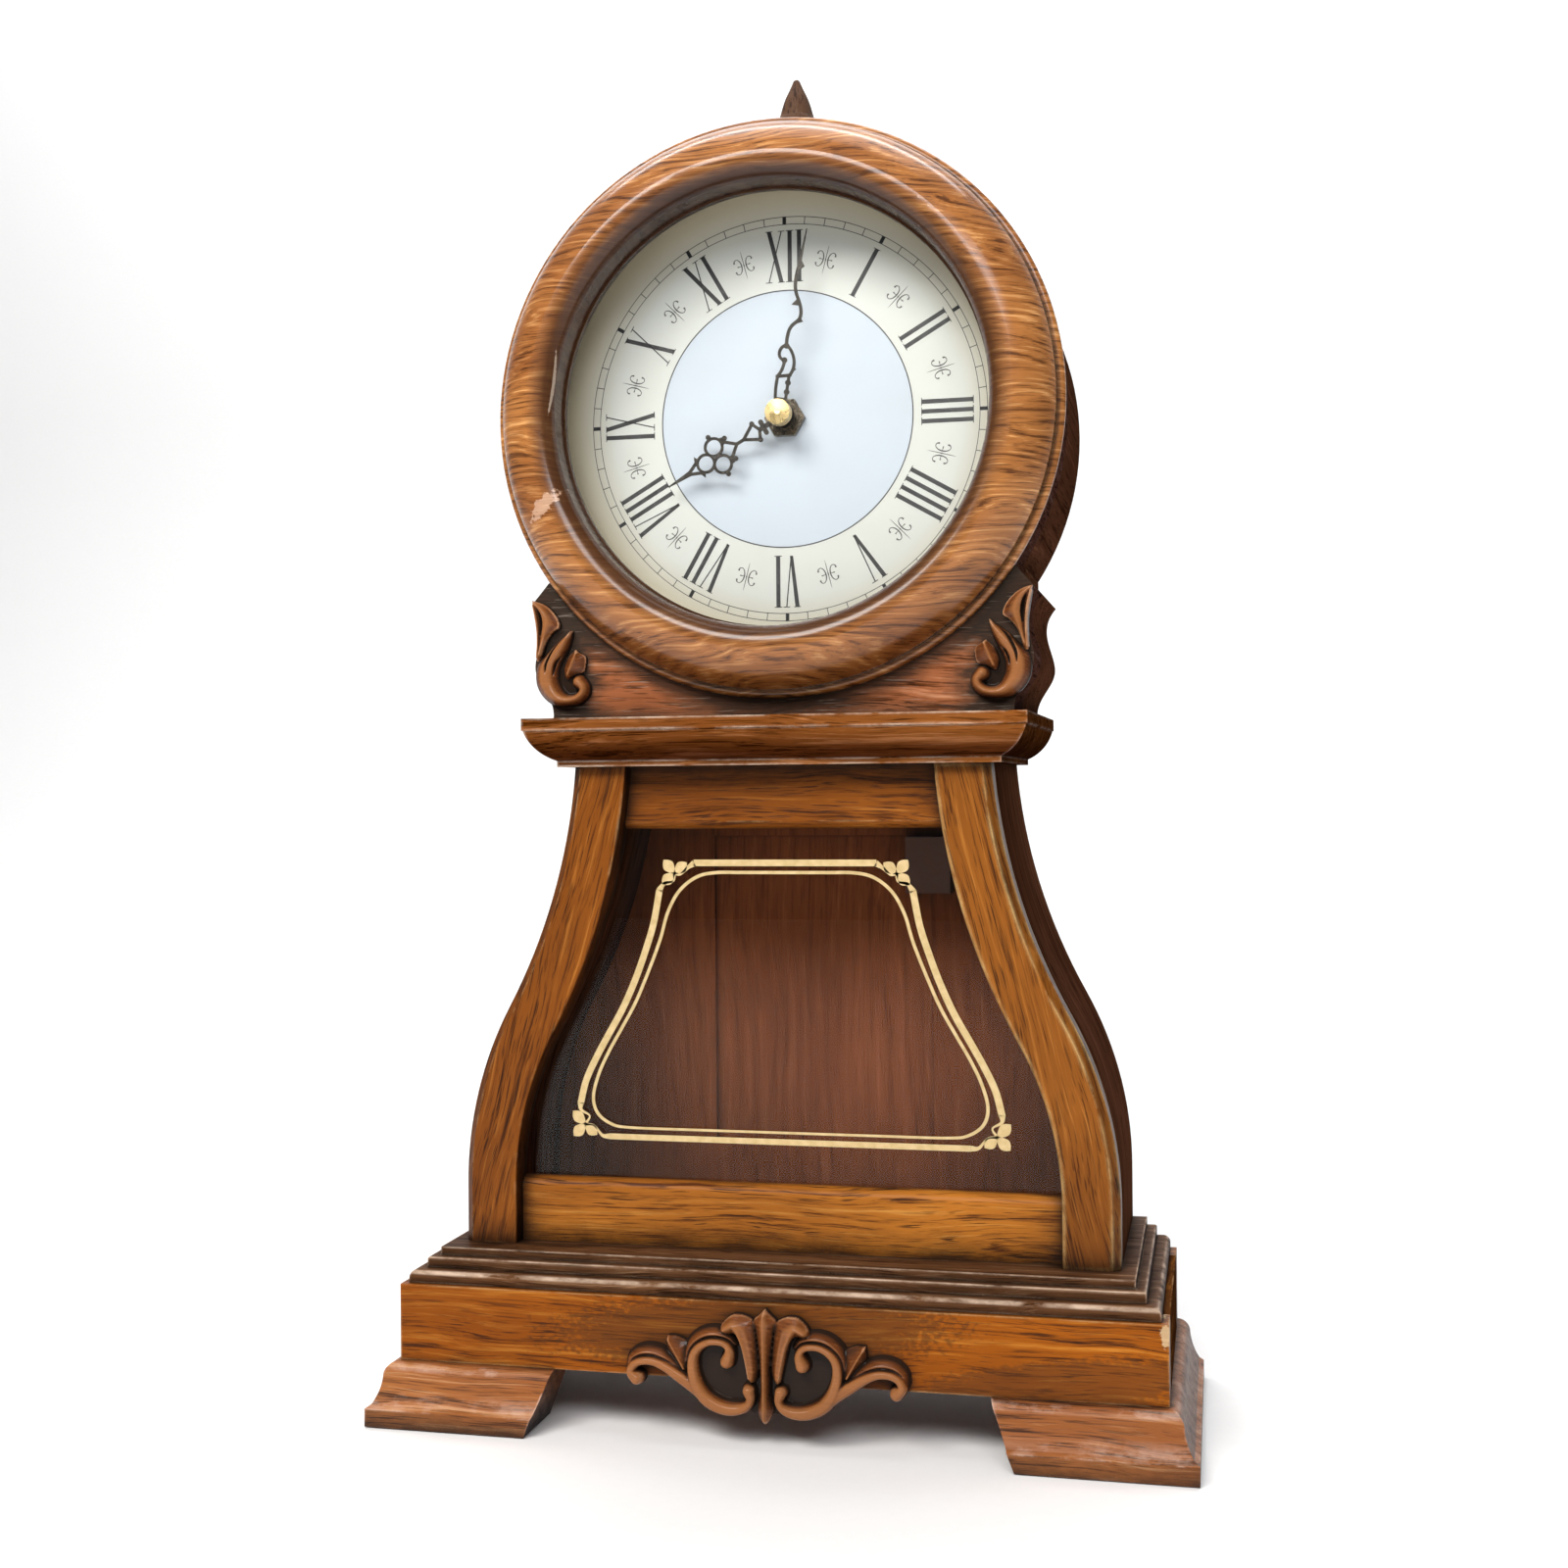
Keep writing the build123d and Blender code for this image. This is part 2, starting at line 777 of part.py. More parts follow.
with BuildPart() as saddle_block:
    with BuildSketch(facing(face_rear)):
        add(shoulder_face())
        with Locations((0, drum_z)):
            Circle(drum_radius + glue_gap, mode=Mode.SUBTRACT)
    extrude(amount=-(case_rear - face_rear))

with BuildPart() as right_carving:
    with BuildSketch(facing(face_front)):
        add(shoulder_leaf_face(1))
    extrude(amount=shoulder_carving_thick)

with BuildPart() as left_carving:
    with BuildSketch(facing(face_front)):
        add(shoulder_leaf_face(-1))
    extrude(amount=shoulder_carving_thick)

with BuildPart() as drum_hoop:
    with BuildSketch(facing(face_rear)):
        with Locations((0, drum_z)):
            Circle(drum_radius)
            Circle(bore_radius, mode=Mode.SUBTRACT)
    extrude(amount=-(case_rear - face_rear))
    with BuildSketch(facing(panel_front)):
        with Locations((0, drum_z)):
            Circle(bore_radius + back_ledge)
    extrude(amount=-(case_rear - panel_front), mode=Mode.SUBTRACT)
    with BuildSketch(facing(panel_front)):
        with Locations((0, drum_z)):
            with PolarLocations(bore_radius + back_ledge / 2, 4, start_angle=45):
                Circle(back_screw_radius + screw_clearance)
    extrude(amount=back_screw_length, mode=Mode.SUBTRACT)
    with BuildSketch(Plane.XY.offset(drum_z + drum_radius)):
        with Locations((0, plinth_front + finial_setback)):
            Circle(finial_dowel + glue_gap)
    extrude(amount=-(finial_dowel_length + glue_gap), mode=Mode.SUBTRACT)

with BuildPart() as bezel:
    bead_r = bezel_radius - bezel_bead
    bead_y = face_front - bezel_bead - glue_gap
    bead_front = bead_y - bezel_bead
    groove_r = bead_r - bezel_groove
    crest = (bezel_crest_radius, face_front - bezel_crest_rise)
    mouth = (bezel_inner, face_front - bezel_mouth_rise)
    brow = (groove_r, face_front - bezel_shoulder_rise)
    lip_y = face_front - glass_thick - bezel_lip_depth
    slope_mid = (crest[0] + (brow[0] - crest[0]) * slope_out, crest[1] + (brow[1] - crest[1]) * slope_down)
    roll_mid = (crest[0] - (crest[0] - mouth[0]) * roll_in, crest[1] + (mouth[1] - crest[1]) * roll_down)
    with BuildSketch(Plane.XY.offset(drum_z)):
        with BuildLine():
            Line((glass_radius + glass_gap, face_front), (bead_r, face_front))
            Line((bead_r, face_front), (bead_r, bead_y + bezel_bead))
            ThreePointArc((bead_r, bead_y + bezel_bead), (bezel_radius, bead_y), (bead_r, bead_front))
            Polyline((bead_r, bead_front), (groove_r, bead_front), brow)
            ThreePointArc(brow, slope_mid, crest)
            ThreePointArc(crest, roll_mid, mouth)
            Polyline(mouth, (bezel_inner, lip_y), (bezel_lip, lip_y), (bezel_lip, face_front - glass_thick))
            Line((bezel_lip, face_front - glass_thick), (glass_radius + glass_gap, face_front - glass_thick))
            Line((glass_radius + glass_gap, face_front - glass_thick), (glass_radius + glass_gap, face_front))
        make_face()
    revolve(axis=Axis((0, 0, drum_z), (0, 1, 0)))

with BuildPart() as dial_glass:
    with BuildSketch(facing(face_front - glass_thick)):
        with Locations((0, drum_z)):
            Circle(glass_radius)
    extrude(amount=-glass_thick)

with BuildPart() as glass_ring:
    with BuildSketch(facing(face_front)):
        with Locations((0, drum_z)):
            Circle(dial_opening_radius - glass_gap)
            Circle(ring_inner, mode=Mode.SUBTRACT)
    extrude(amount=-ring_thick)

with BuildPart() as dial:
    with BuildSketch(facing(dial_front)):
        with Locations((0, drum_z)):
            Circle(dial_radius)
            Circle(bush_radius + screw_clearance, mode=Mode.SUBTRACT)
            with PolarLocations((dial_opening_radius + dial_radius) / 2, 4, start_angle=45):
                Circle(dial_screw_radius + screw_clearance, mode=Mode.SUBTRACT)
    extrude(amount=-dial_thick)

with BuildPart() as dial_screws:
    with BuildSketch(facing(dial_rear)):
        with Locations((0, drum_z)):
            with PolarLocations((dial_opening_radius + dial_radius) / 2, 4, start_angle=45):
                Circle(dial_head_radius)
    extrude(amount=-dial_head_height)
    with BuildSketch(facing(dial_rear)):
        with Locations((0, drum_z)):
            with PolarLocations((dial_opening_radius + dial_radius) / 2, 4, start_angle=45):
                Circle(dial_screw_radius)
    extrude(amount=dial_screw_length)

with BuildPart() as finial:
    seat_z = drum_z + drum_radius + glue_gap
    tip_z = drum_z + drum_radius + finial_height
    dowel_z = seat_z - finial_dowel_length
    shoulder = (finial_collar, seat_z + finial_collar_height)
    neck = (finial_neck, seat_z + finial_neck_rise)
    ball = (finial_ball, seat_z + finial_ball_rise)
    root = (finial_root, seat_z + finial_root_rise)
    with BuildSketch(facing(plinth_front + finial_setback)):
        with BuildLine():
            Polyline((0, dowel_z), (finial_dowel, dowel_z), (finial_dowel, seat_z))
            Polyline((finial_dowel, seat_z), (finial_collar, seat_z), shoulder)
            Line(shoulder, neck)
            ThreePointArc(neck, ball, root)
            Spline(
                root,
                (finial_spire, seat_z + finial_spire_rise),
                (finial_nose, tip_z - finial_nose_drop),
                (0, tip_z),
                tangents=((finial_spire - finial_root, finial_spire_rise - finial_root_rise), (-1, 0)),
            )
            Line((0, tip_z), (0, dowel_z))
        make_face()
    revolve(axis=Axis((0, plinth_front + finial_setback, 0), (0, 0, 1)))

speaker_z = drum_z - speaker_drop

with BuildPart() as drum_back:
    with BuildSketch(facing(panel_front)):
        with Locations((0, drum_z)):
            Circle(bore_radius + back_ledge - dial_clearance)
            RectangleRounded(2 * access_half_width, 2 * access_half_height, access_corner, mode=Mode.SUBTRACT)
            with PolarLocations(bore_radius + back_ledge / 2, 4, start_angle=45):
                Circle(back_screw_radius + screw_clearance, mode=Mode.SUBTRACT)
        with Locations((0, speaker_z)):
            with GridLocations(grille_pitch, 0, 5, 1):
                SlotOverall(speaker_radius, grille_slot, rotation=90, mode=Mode.SUBTRACT)
    extrude(amount=-panel_thick)

with BuildPart() as back_screws:
    with BuildSketch(facing(panel_rear)):
        with Locations((0, drum_z)):
            with PolarLocations(bore_radius + back_ledge / 2, 4, start_angle=45):
                Circle(min(back_head_radius, back_ledge / 2))
    extrude(amount=-back_head_height)
    with BuildSketch(facing(panel_rear)):
        with Locations((0, drum_z)):
            with PolarLocations(bore_radius + back_ledge / 2, 4, start_angle=45):
                Circle(back_screw_radius)
    extrude(amount=back_screw_length)

# Speaker

with BuildPart() as speaker_frame:
    rim_y = panel_front - speaker_flange_thick
    floor_y = panel_front - speaker_depth
    rim_r = speaker_radius - speaker_flange
    with BuildSketch(Plane.XY.offset(speaker_z)):
        with BuildLine():
            Polyline(
                (0, floor_y - magnet_thick),
                (magnet_radius, floor_y - magnet_thick),
                (magnet_radius, floor_y - speaker_skin),
                (rim_r + speaker_skin, rim_y),
                (speaker_radius, rim_y),
                (speaker_radius, panel_front),
                (rim_r, panel_front),
                (rim_r, rim_y),
                (magnet_radius - speaker_skin, floor_y),
                (0, floor_y),
                (0, floor_y - magnet_thick),
            )
        make_face()
    revolve(axis=Axis((0, 0, speaker_z), (0, 1, 0)))

with BuildPart() as speaker_cone:
    cone_r = rim_r - glue_gap
    cone_y = rim_y + speaker_flange_thick / 2
    cap_y = floor_y + cone_skin
    with BuildSketch(Plane.XY.offset(speaker_z)):
        with BuildLine():
            Polyline(
                (0, floor_y),
                (cone_cap_radius, floor_y),
                (cone_cap_radius, cap_y),
                (cone_r, cone_y - cone_skin),
                (cone_r, cone_y),
                (cone_cap_radius, cap_y + cone_skin),
                (0, cap_y + 2 * cone_skin),
                (0, floor_y),
            )
        make_face()
    revolve(axis=Axis((0, 0, speaker_z), (0, 1, 0)))

# Movement

module_front = dial_rear
module_inner = module_front + module_wall
split_y = module_front + module_split
module_rear = module_front + module_depth
module_room_width = 2 * (module_half_width - module_wall)
module_room_height = 2 * (module_half_height - module_wall)
arbor_step = motion_module * (cannon_teeth + motion_teeth) / 2
pinion_module = 2 * arbor_step / (motion_pinion_teeth + hour_teeth)
motion_z = drum_z + arbor_step
setting_z = motion_z + arbor_step
motor_x = train_module * (centre_teeth + motor_teeth) / 2
hour_gear_y = module_front + hour_gear_depth
motion_gear_y = hour_gear_y + gear_thick + gear_step
centre_gear_y = motion_gear_y + gear_thick + gear_step + gear_step / 2
plate_y = module_front + plate_depth
arbor_rear = plate_y + plate_thick + gear_step
motion_tooth = 2 * pi / motion_teeth
hour_tooth = 2 * pi / hour_teeth
centre_tooth = 2 * pi / centre_teeth
up = pi / 2

with BuildPart() as module_front_case:
    with BuildSketch(facing(module_front)):
        with Locations((0, drum_z)):
            Rectangle(2 * module_half_width, 2 * module_half_height)
            Circle(bush_radius + screw_clearance, mode=Mode.SUBTRACT)
    extrude(amount=-module_wall)
    with BuildSketch(facing(module_inner)):
        with Locations((0, drum_z)):
            Rectangle(2 * module_half_width, 2 * module_half_height)
            Rectangle(module_room_width, module_room_height, mode=Mode.SUBTRACT)
    extrude(amount=-(split_y - module_inner))
    with BuildSketch(facing(module_inner)):
        with Locations((0, drum_z)):
            with GridLocations(2 * pillar_span, 2 * pillar_span, 2, 2):
                Circle(pillar_radius)
    extrude(amount=-(plate_y - module_inner))
    with BuildSketch(facing(module_inner)):
        with Locations((0, motion_z)):
            Circle(pillar_radius)
    extrude(amount=-(hour_gear_y - 2 * switch_gap - module_inner))
    with BuildSketch(facing(module_inner)):
        with Locations((0, motion_z)):
            Circle(post_radius)
    extrude(amount=-(motion_gear_y + gear_thick + switch_gap - module_inner))

with BuildPart() as mounting_bush:
    with BuildSketch(facing(plinth_front + bush_front_setback)):
        with Locations((0, drum_z)):
            Circle(bush_radius)
            Circle(tube_radius + running_gap, mode=Mode.SUBTRACT)
    extrude(amount=-(module_inner - plinth_front - bush_front_setback))
    with BuildSketch(facing(module_inner)):
        with Locations((0, drum_z)):
            Circle(bush_flange_radius)
            Circle(tube_radius + running_gap, mode=Mode.SUBTRACT)
    extrude(amount=-bush_flange)

with BuildPart() as fixing_nut:
    with BuildSketch(facing(dial_front - fixing_nut_height)):
        with Locations((0, drum_z)):
            RegularPolygon(fixing_nut_flats / 2, 6, major_radius=False)
            Circle(bush_radius + screw_clearance, mode=Mode.SUBTRACT)
    extrude(amount=-fixing_nut_height)

minute_front = plinth_front + nut_front_setback + nut_height
minute_angle = up - radians(6 * rest_minute)
hour_angle = up - radians(30 * rest_hour + rest_minute / 2)
hour_front = minute_front + hand_thick + hour_hand_drop

with BuildPart() as hand_nut:
    nut_front = plinth_front + nut_front_setback
    nut_face = nut_front + nut_cone
    with BuildSketch(Plane.XY.offset(drum_z)):
        with BuildLine():
            Polyline(
                (0, nut_front + nut_cone / 3),
                (nut_radius, nut_face - nut_cone / 2),
                (nut_radius, minute_front),
                (arbor_radius + glue_gap, minute_front),
                (arbor_radius + glue_gap, nut_face),
                (0, nut_face),
                (0, nut_front + nut_cone / 3),
            )
        make_face()
    revolve(axis=Axis((0, 0, drum_z), (0, 1, 0)))

with BuildPart() as centre_arbor:
    with BuildSketch(facing(nut_face + glue_gap)):
        with Locations((0, drum_z)):
            Circle(arbor_radius)
    extrude(amount=-(arbor_rear - nut_face - glue_gap))
    with BuildSketch(turned(0, motion_gear_y, drum_z, 0)):
        add(gear_face(cannon_teeth, motion_module, up))
    extrude(amount=-gear_thick)

with BuildPart() as centre_wheel:
    with BuildSketch(turned(0, centre_gear_y, drum_z, 0)):
        add(gear_face(centre_teeth, train_module, centre_tooth / 2))
        Circle(arbor_radius + glue_gap, mode=Mode.SUBTRACT)
    extrude(amount=-gear_thick)

with BuildPart() as hour_wheel:
    with BuildSketch(turned(0, hour_front - hand_thick, drum_z, 0)):
        Circle(tube_radius)
        Circle(arbor_radius + running_gap, mode=Mode.SUBTRACT)
    extrude(amount=-(hour_gear_y - hour_front + hand_thick))
    with BuildSketch(turned(0, hour_gear_y, drum_z, 0)):
        add(gear_face(hour_teeth, pinion_module, up + hour_tooth / 2))
        Circle(arbor_radius + running_gap, mode=Mode.SUBTRACT)
    extrude(amount=-gear_thick)

with BuildPart() as motion_wheel:
    with BuildSketch(turned(0, hour_gear_y - switch_gap, motion_z, 0)):
        add(gear_face(motion_pinion_teeth, pinion_module, -up))
        Circle(post_radius + running_gap, mode=Mode.SUBTRACT)
    extrude(amount=-(motion_gear_y - hour_gear_y + switch_gap))
    with BuildSketch(turned(0, motion_gear_y, motion_z, 0)):
        add(gear_face(motion_teeth, motion_module, -up + motion_tooth / 2))
        Circle(post_radius + running_gap, mode=Mode.SUBTRACT)
    extrude(amount=-gear_thick)

with BuildPart() as setting_knob:
    with BuildSketch(turned(0, motion_gear_y, setting_z, 0)):
        add(gear_face(cannon_teeth, motion_module, -up))
    extrude(amount=-gear_thick)
    with BuildSketch(turned(0, motion_gear_y, setting_z, 0)):
        Circle(arbor_radius)
    extrude(amount=-(module_rear + knob_gap - motion_gear_y))
    with BuildSketch(turned(0, module_rear + knob_gap, setting_z, 0)):
        Circle(knob_radius)
        with PolarLocations(knob_radius, 12):
            Circle(knob_radius / 10, mode=Mode.SUBTRACT)
    extrude(amount=-knob_height)

with BuildPart() as train_plate:
    with BuildSketch(facing(plate_y)):
        with Locations((0, drum_z)):
            Rectangle(2 * plate_half, 2 * plate_half)
            Circle(arbor_radius + running_gap, mode=Mode.SUBTRACT)
        with Locations((0, setting_z)):
            Circle(arbor_radius + running_gap, mode=Mode.SUBTRACT)
    extrude(amount=-plate_thick)

motor_left = motion_module * hour_teeth / 2 + motor_gap
motor_rear = centre_gear_y - gear_step / 2

with BuildPart() as motor_unit:
    with BuildSketch(facing(module_inner)):
        with Locations((motor_left + motor_width / 2, drum_z)):
            Rectangle(motor_width, 2 * motor_half_height)
    extrude(amount=-(motor_rear - module_inner))
    with BuildSketch(facing(motor_rear)):
        with Locations((motor_x, drum_z)):
            Circle(post_radius + running_gap)
    extrude(amount=gear_thick, mode=Mode.SUBTRACT)

with BuildPart() as motor_pinion:
    with BuildSketch(turned(motor_x, centre_gear_y, drum_z, 0)):
        add(gear_face(motor_teeth, train_module, pi))
    extrude(amount=-gear_thick)
    with BuildSketch(turned(motor_x, centre_gear_y, drum_z, 0)):
        Circle(post_radius)
    extrude(amount=centre_gear_y - motor_rear + gear_thick - switch_gap)

with BuildPart() as minute_hand:
    with BuildSketch(turned(0, minute_front, drum_z, minute_angle)):
        with BuildLine() as ribs:
            Spline(*along(minute_length, (0.0648, 0.0357), (0.1378, 0.0438), (0.201, 0.0421)))
            Spline(*along(minute_length, (0.201, 0.0421), (0.2431, 0.0227), (0.2885, 0.0178)))
        trace(ribs.line, minute_wire)
        with BuildLine() as loop:
            Spline(
                *along(minute_length, (0.2885, 0.0178), (0.3144, 0.0502), (0.3468, 0.047), (0.3695, 0.0178)),
            )
            Spline(
                *along(minute_length, (0.2075, -0.0194), (0.2512, -0.0373), (0.3112, -0.0292), (0.3695, 0.0146)),
            )
        trace(loop.line, minute_wire)
        with BuildLine() as rod:
            Line(*along(minute_length, (0.0486, -0.0194), (0.2107, -0.0194)))
            Line(*along(minute_length, (0.1961, 0.0535), (0.2123, -0.0292)))
        trace(rod.line, minute_wire)
        with BuildLine() as shaft:
            Spline(
                *along(
                    minute_length,
                    (0.3598, 0.0162),
                    (0.4295, 0.0194),
                    (0.4781, 0.0032),
                    (0.5154, -0.0308),
                    (0.5592, -0.034),
                    (0.6078, -0.0162),
                    (0.6645, 0.0113),
                    (0.7374, 0.0194),
                    (0.8104, 0.0113),
                )
            )
        trace(shaft.line, minute_shaft)
        Circle(nut_radius * boss_share)
        with Locations(
            *along(minute_length, (0.1199, -0.0194), (0.1702, -0.0194), (0.2885, 0.0178), (0.3663, 0.0178)),
        ):
            Circle(minute_bead)
        Polygon(
            *along(minute_length, (0.0551, 0.0389), (0.0875, 0.047), (0.0875, -0.0292), (0.0551, -0.0357)),
            align=None,
        )
        Polygon(*along(minute_length, (0.2253, -0.0276), (0.2658, -0.0324), (0.2464, -0.0535)), align=None)
        Polygon(*along(minute_length, (0.4862, -0.0097), (0.5284, -0.0324), (0.5041, -0.0535)), align=None)
        Polygon(*along(minute_length, (0.5867, -0.0227), (0.6256, -0.0065), (0.5883, 0.0227)), align=None)
        Polygon(*along(minute_length, (0.7682, 0.0178), (0.8363, 0.0065), (0.799, -0.0178)), align=None)
        Polygon(
            *along(minute_length, (0.7877, 0.0227), (1.0, 0.0023), (1.0, -0.0023), (0.7877, 0.0032)),
            align=None,
        )
        Circle(arbor_radius + glue_gap, mode=Mode.SUBTRACT)
    extrude(amount=-hand_thick)

with BuildPart() as hour_hand:
    with BuildSketch(turned(0, hour_front, drum_z, hour_angle)):
        add(strut(*along(hour_length, (0.0661, 0.0), (0.207, 0.0)), hour_bar))
        add(strut(*along(hour_length, (0.1608, -0.0441), (0.1608, 0.0441)), hour_bar))
        add(strut(*along(hour_length, (0.3216, 0.0), (0.4053, 0.0)), hour_neck))
        for side in (1, -1):
            add(strut(*along(hour_length, (0.1938, side * -0.0044), (0.2247, side * 0.0661)), hour_wire))
            add(strut(*along(hour_length, (0.2247, side * 0.0661), (0.3392, side * -0.0022)), hour_wire))
            add(strut(*along(hour_length, (0.3921, side * -0.0022), (0.4846, side * 0.0771)), hour_wire))
            add(strut(*along(hour_length, (0.7181, side * 0.0485), (0.8282, side * -0.0022)), hour_wire))
            with Locations(
                *along(hour_length, (0.1608, side * 0.0441), (0.2247, side * 0.0683)),
                *along(hour_length, (0.4537, side * 0.0881), (0.5573, side * 0.1586)),
            ):
                Circle(hour_bead)
            with Locations(*along(hour_length, (0.4846, side * 0.0793))):
                Circle(hour_boss)
            with Locations(*along(hour_length, (0.5573, side * 0.0727))):
                Circle(hour_loop)
            Polygon(
                *along(hour_length, (0.7004, side * 0.0529), (0.7467, side * 0.0308), (0.7225, side * 0.0903)),
                align=None,
            )
        with Locations(*along(hour_length, (0.6674, 0.0))):
            Circle(hour_loop)
        with Locations(*along(hour_length, (0.5573, 0.0727), (0.5573, -0.0727), (0.6674, 0.0))):
            Circle(hour_loop_hole, mode=Mode.SUBTRACT)
        Polygon(
            *along(hour_length, (0.7974, 0.0209), (1.0, 0.0031), (1.0, -0.0031), (0.7974, -0.0209)),
            align=None,
        )
        Circle(nut_radius)
        Circle(tube_radius + glue_gap, mode=Mode.SUBTRACT)
    extrude(amount=-hand_thick)

# Electronics and power

tray_left = module_wall + glue_gap - module_half_width
tray_right = tray_left + tray_width
tray_floor = split_y - cell_radius
cell_y = tray_floor + tray_wall + cell_gap + cell_radius
tray_middle = (tray_left + tray_right) / 2
switch_start = switch_x - switch_travel / 2
switch_room = switch_travel + switch_width + 2 * switch_gap

with BuildPart() as module_rear_case:
    with BuildSketch(facing(split_y)):
        with Locations((0, drum_z)):
            Rectangle(2 * module_half_width, 2 * module_half_height)
            Rectangle(module_room_width, module_room_height, mode=Mode.SUBTRACT)
    extrude(amount=-(module_rear - split_y))
    with BuildSketch(facing(module_rear - module_wall)):
        with Locations((0, drum_z)):
            Rectangle(2 * module_half_width, 2 * module_half_height)
        add(
            slab(
                tray_left + tray_wall,
                tray_right - tray_wall,
                drum_z - tray_half_height + tray_wall,
                drum_z + tray_half_height - tray_wall,
            ),
            mode=Mode.SUBTRACT,
        )
        with Locations((0, setting_z)):
            Circle(arbor_radius + running_gap, mode=Mode.SUBTRACT)
        with Locations((switch_x, drum_z + switch_rise)):
            Rectangle(switch_room, switch_height + 2 * switch_gap, mode=Mode.SUBTRACT)
    extrude(amount=-module_wall)

with BuildPart() as chime_switch:
    with BuildSketch(facing(module_rear - module_wall - switch_gap)):
        with Locations((switch_start, drum_z + switch_rise)):
            Rectangle(switch_width, switch_height)
    extrude(amount=-(module_wall + 2 * switch_gap + switch_cap))
    with BuildSketch(facing(module_rear + switch_gap)):
        with Locations((switch_start, drum_z + switch_rise)):
            Rectangle(switch_width + switch_overlap, switch_height + switch_overlap)
    extrude(amount=-switch_cap)
    with BuildSketch(facing(module_rear - module_wall - switch_gap)):
        with Locations((switch_start, drum_z + switch_rise)):
            Rectangle(switch_width + switch_overlap, switch_height + switch_overlap)
    extrude(amount=switch_cap)

with BuildPart() as circuit_board:
    board_left = module_half_width - module_wall - glue_gap - board_width
    with BuildSketch(facing(module_inner + board_stand)):
        with Locations((board_left + board_width / 2, drum_z)):
            Rectangle(board_width, 2 * board_half_height)
    extrude(amount=-board_thick)
    with BuildSketch(facing(module_inner + board_stand + board_thick)):
        with Locations((board_left + board_width / 2, drum_z)):
            with GridLocations(0, 2 * chip_size, 1, 3):
                Rectangle(chip_size, chip_size)
    extrude(amount=-chip_height)
    with BuildSketch(facing(module_inner)):
        with Locations((board_left + board_width / 2, drum_z)):
            with GridLocations(board_width - chip_size, 2 * board_half_height - chip_size, 2, 2):
                Circle(pillar_radius)
    extrude(amount=-board_stand)

with BuildPart() as battery_tray:
    with BuildSketch(facing(tray_floor)):
        add(slab(tray_left, tray_right, drum_z - tray_half_height, drum_z + tray_half_height))
    extrude(amount=-(module_rear - module_wall - tray_floor))
    with BuildSketch(facing(tray_floor + tray_wall)):
        add(
            slab(
                tray_left + tray_wall,
                tray_right - tray_wall,
                drum_z - tray_half_height + tray_wall,
                drum_z + tray_half_height - tray_wall,
            )
        )
    extrude(amount=-module_depth, mode=Mode.SUBTRACT)

with BuildPart() as battery_cells:
    for side in (1, -1):
        cell_x = tray_middle + side * (cell_radius + cell_gap / 2)
        with BuildSketch(Plane.XY.offset(drum_z - cell_half_length)):
            with Locations((cell_x, cell_y)):
                Circle(cell_radius)
        extrude(amount=2 * cell_half_length)
        with BuildSketch(Plane.XY.offset(drum_z + side * cell_half_length)):
            with Locations((cell_x, cell_y)):
                Circle(cell_nub_radius)
        extrude(amount=side * cell_nub)

nodes = {
    "left_foot": left_foot,
    "right_foot": right_foot,
    "plinth_front": plinth_front_board,
    "plinth_back": plinth_back_board,
    "plinth_left": plinth_left_board,
    "plinth_right": plinth_right_board,
    "plinth_bottom": plinth_bottom,
    "base_lower_moulding": base_lower_moulding,
    "base_upper_moulding": base_upper_moulding,
    "base_carving": base_carving,
    "left_column": left_column,
    "right_column": right_column,
    "left_side": left_side,
    "right_side": right_side,
    "top_rail": top_rail,
    "bottom_rail": bottom_rail,
    "window_glass": window_glass,
    "glass_strips": glass_strips,
    "back_panel": back_panel,
    "rear_door": rear_door,
    "door_pull": door_pull,
    "hinge_fixed_leaves": hinge_fixed_leaves,
    "hinge_door_leaves": hinge_door_leaves,
    "door_catch": door_catch,
    "door_strike": door_strike,
    "shelf": shelf,
    "face_board": face_board,
    "saddle_block": saddle_block,
    "left_carving": left_carving,
    "right_carving": right_carving,
    "drum_hoop": drum_hoop,
    "bezel": bezel,
    "dial_glass": dial_glass,
    "glass_ring": glass_ring,
    "dial": dial,
    "dial_screws": dial_screws,
    "finial": finial,
    "drum_back": drum_back,
    "back_screws": back_screws,
    "speaker_frame": speaker_frame,
    "speaker_cone": speaker_cone,
    "module_front_case": module_front_case,
    "module_rear_case": module_rear_case,
    "mounting_bush": mounting_bush,
    "fixing_nut": fixing_nut,
    "hand_nut": hand_nut,
    "minute_hand": minute_hand,
    "hour_hand": hour_hand,
    "centre_arbor": centre_arbor,
    "centre_wheel": centre_wheel,
    "hour_wheel": hour_wheel,
    "motion_wheel": motion_wheel,
    "train_plate": train_plate,
    "motor_unit": motor_unit,
    "motor_pinion": motor_pinion,
    "setting_knob": setting_knob,
    "chime_switch": chime_switch,
    "circuit_board": circuit_board,
    "battery_tray": battery_tray,
    "battery_cells": battery_cells,
}

for name, node in nodes.items():
    node.part.label = name
    export_step(node.part, f"parts/{name}.step")
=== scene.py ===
import bpy
import math
import numpy as np
from mathutils import Matrix, Vector


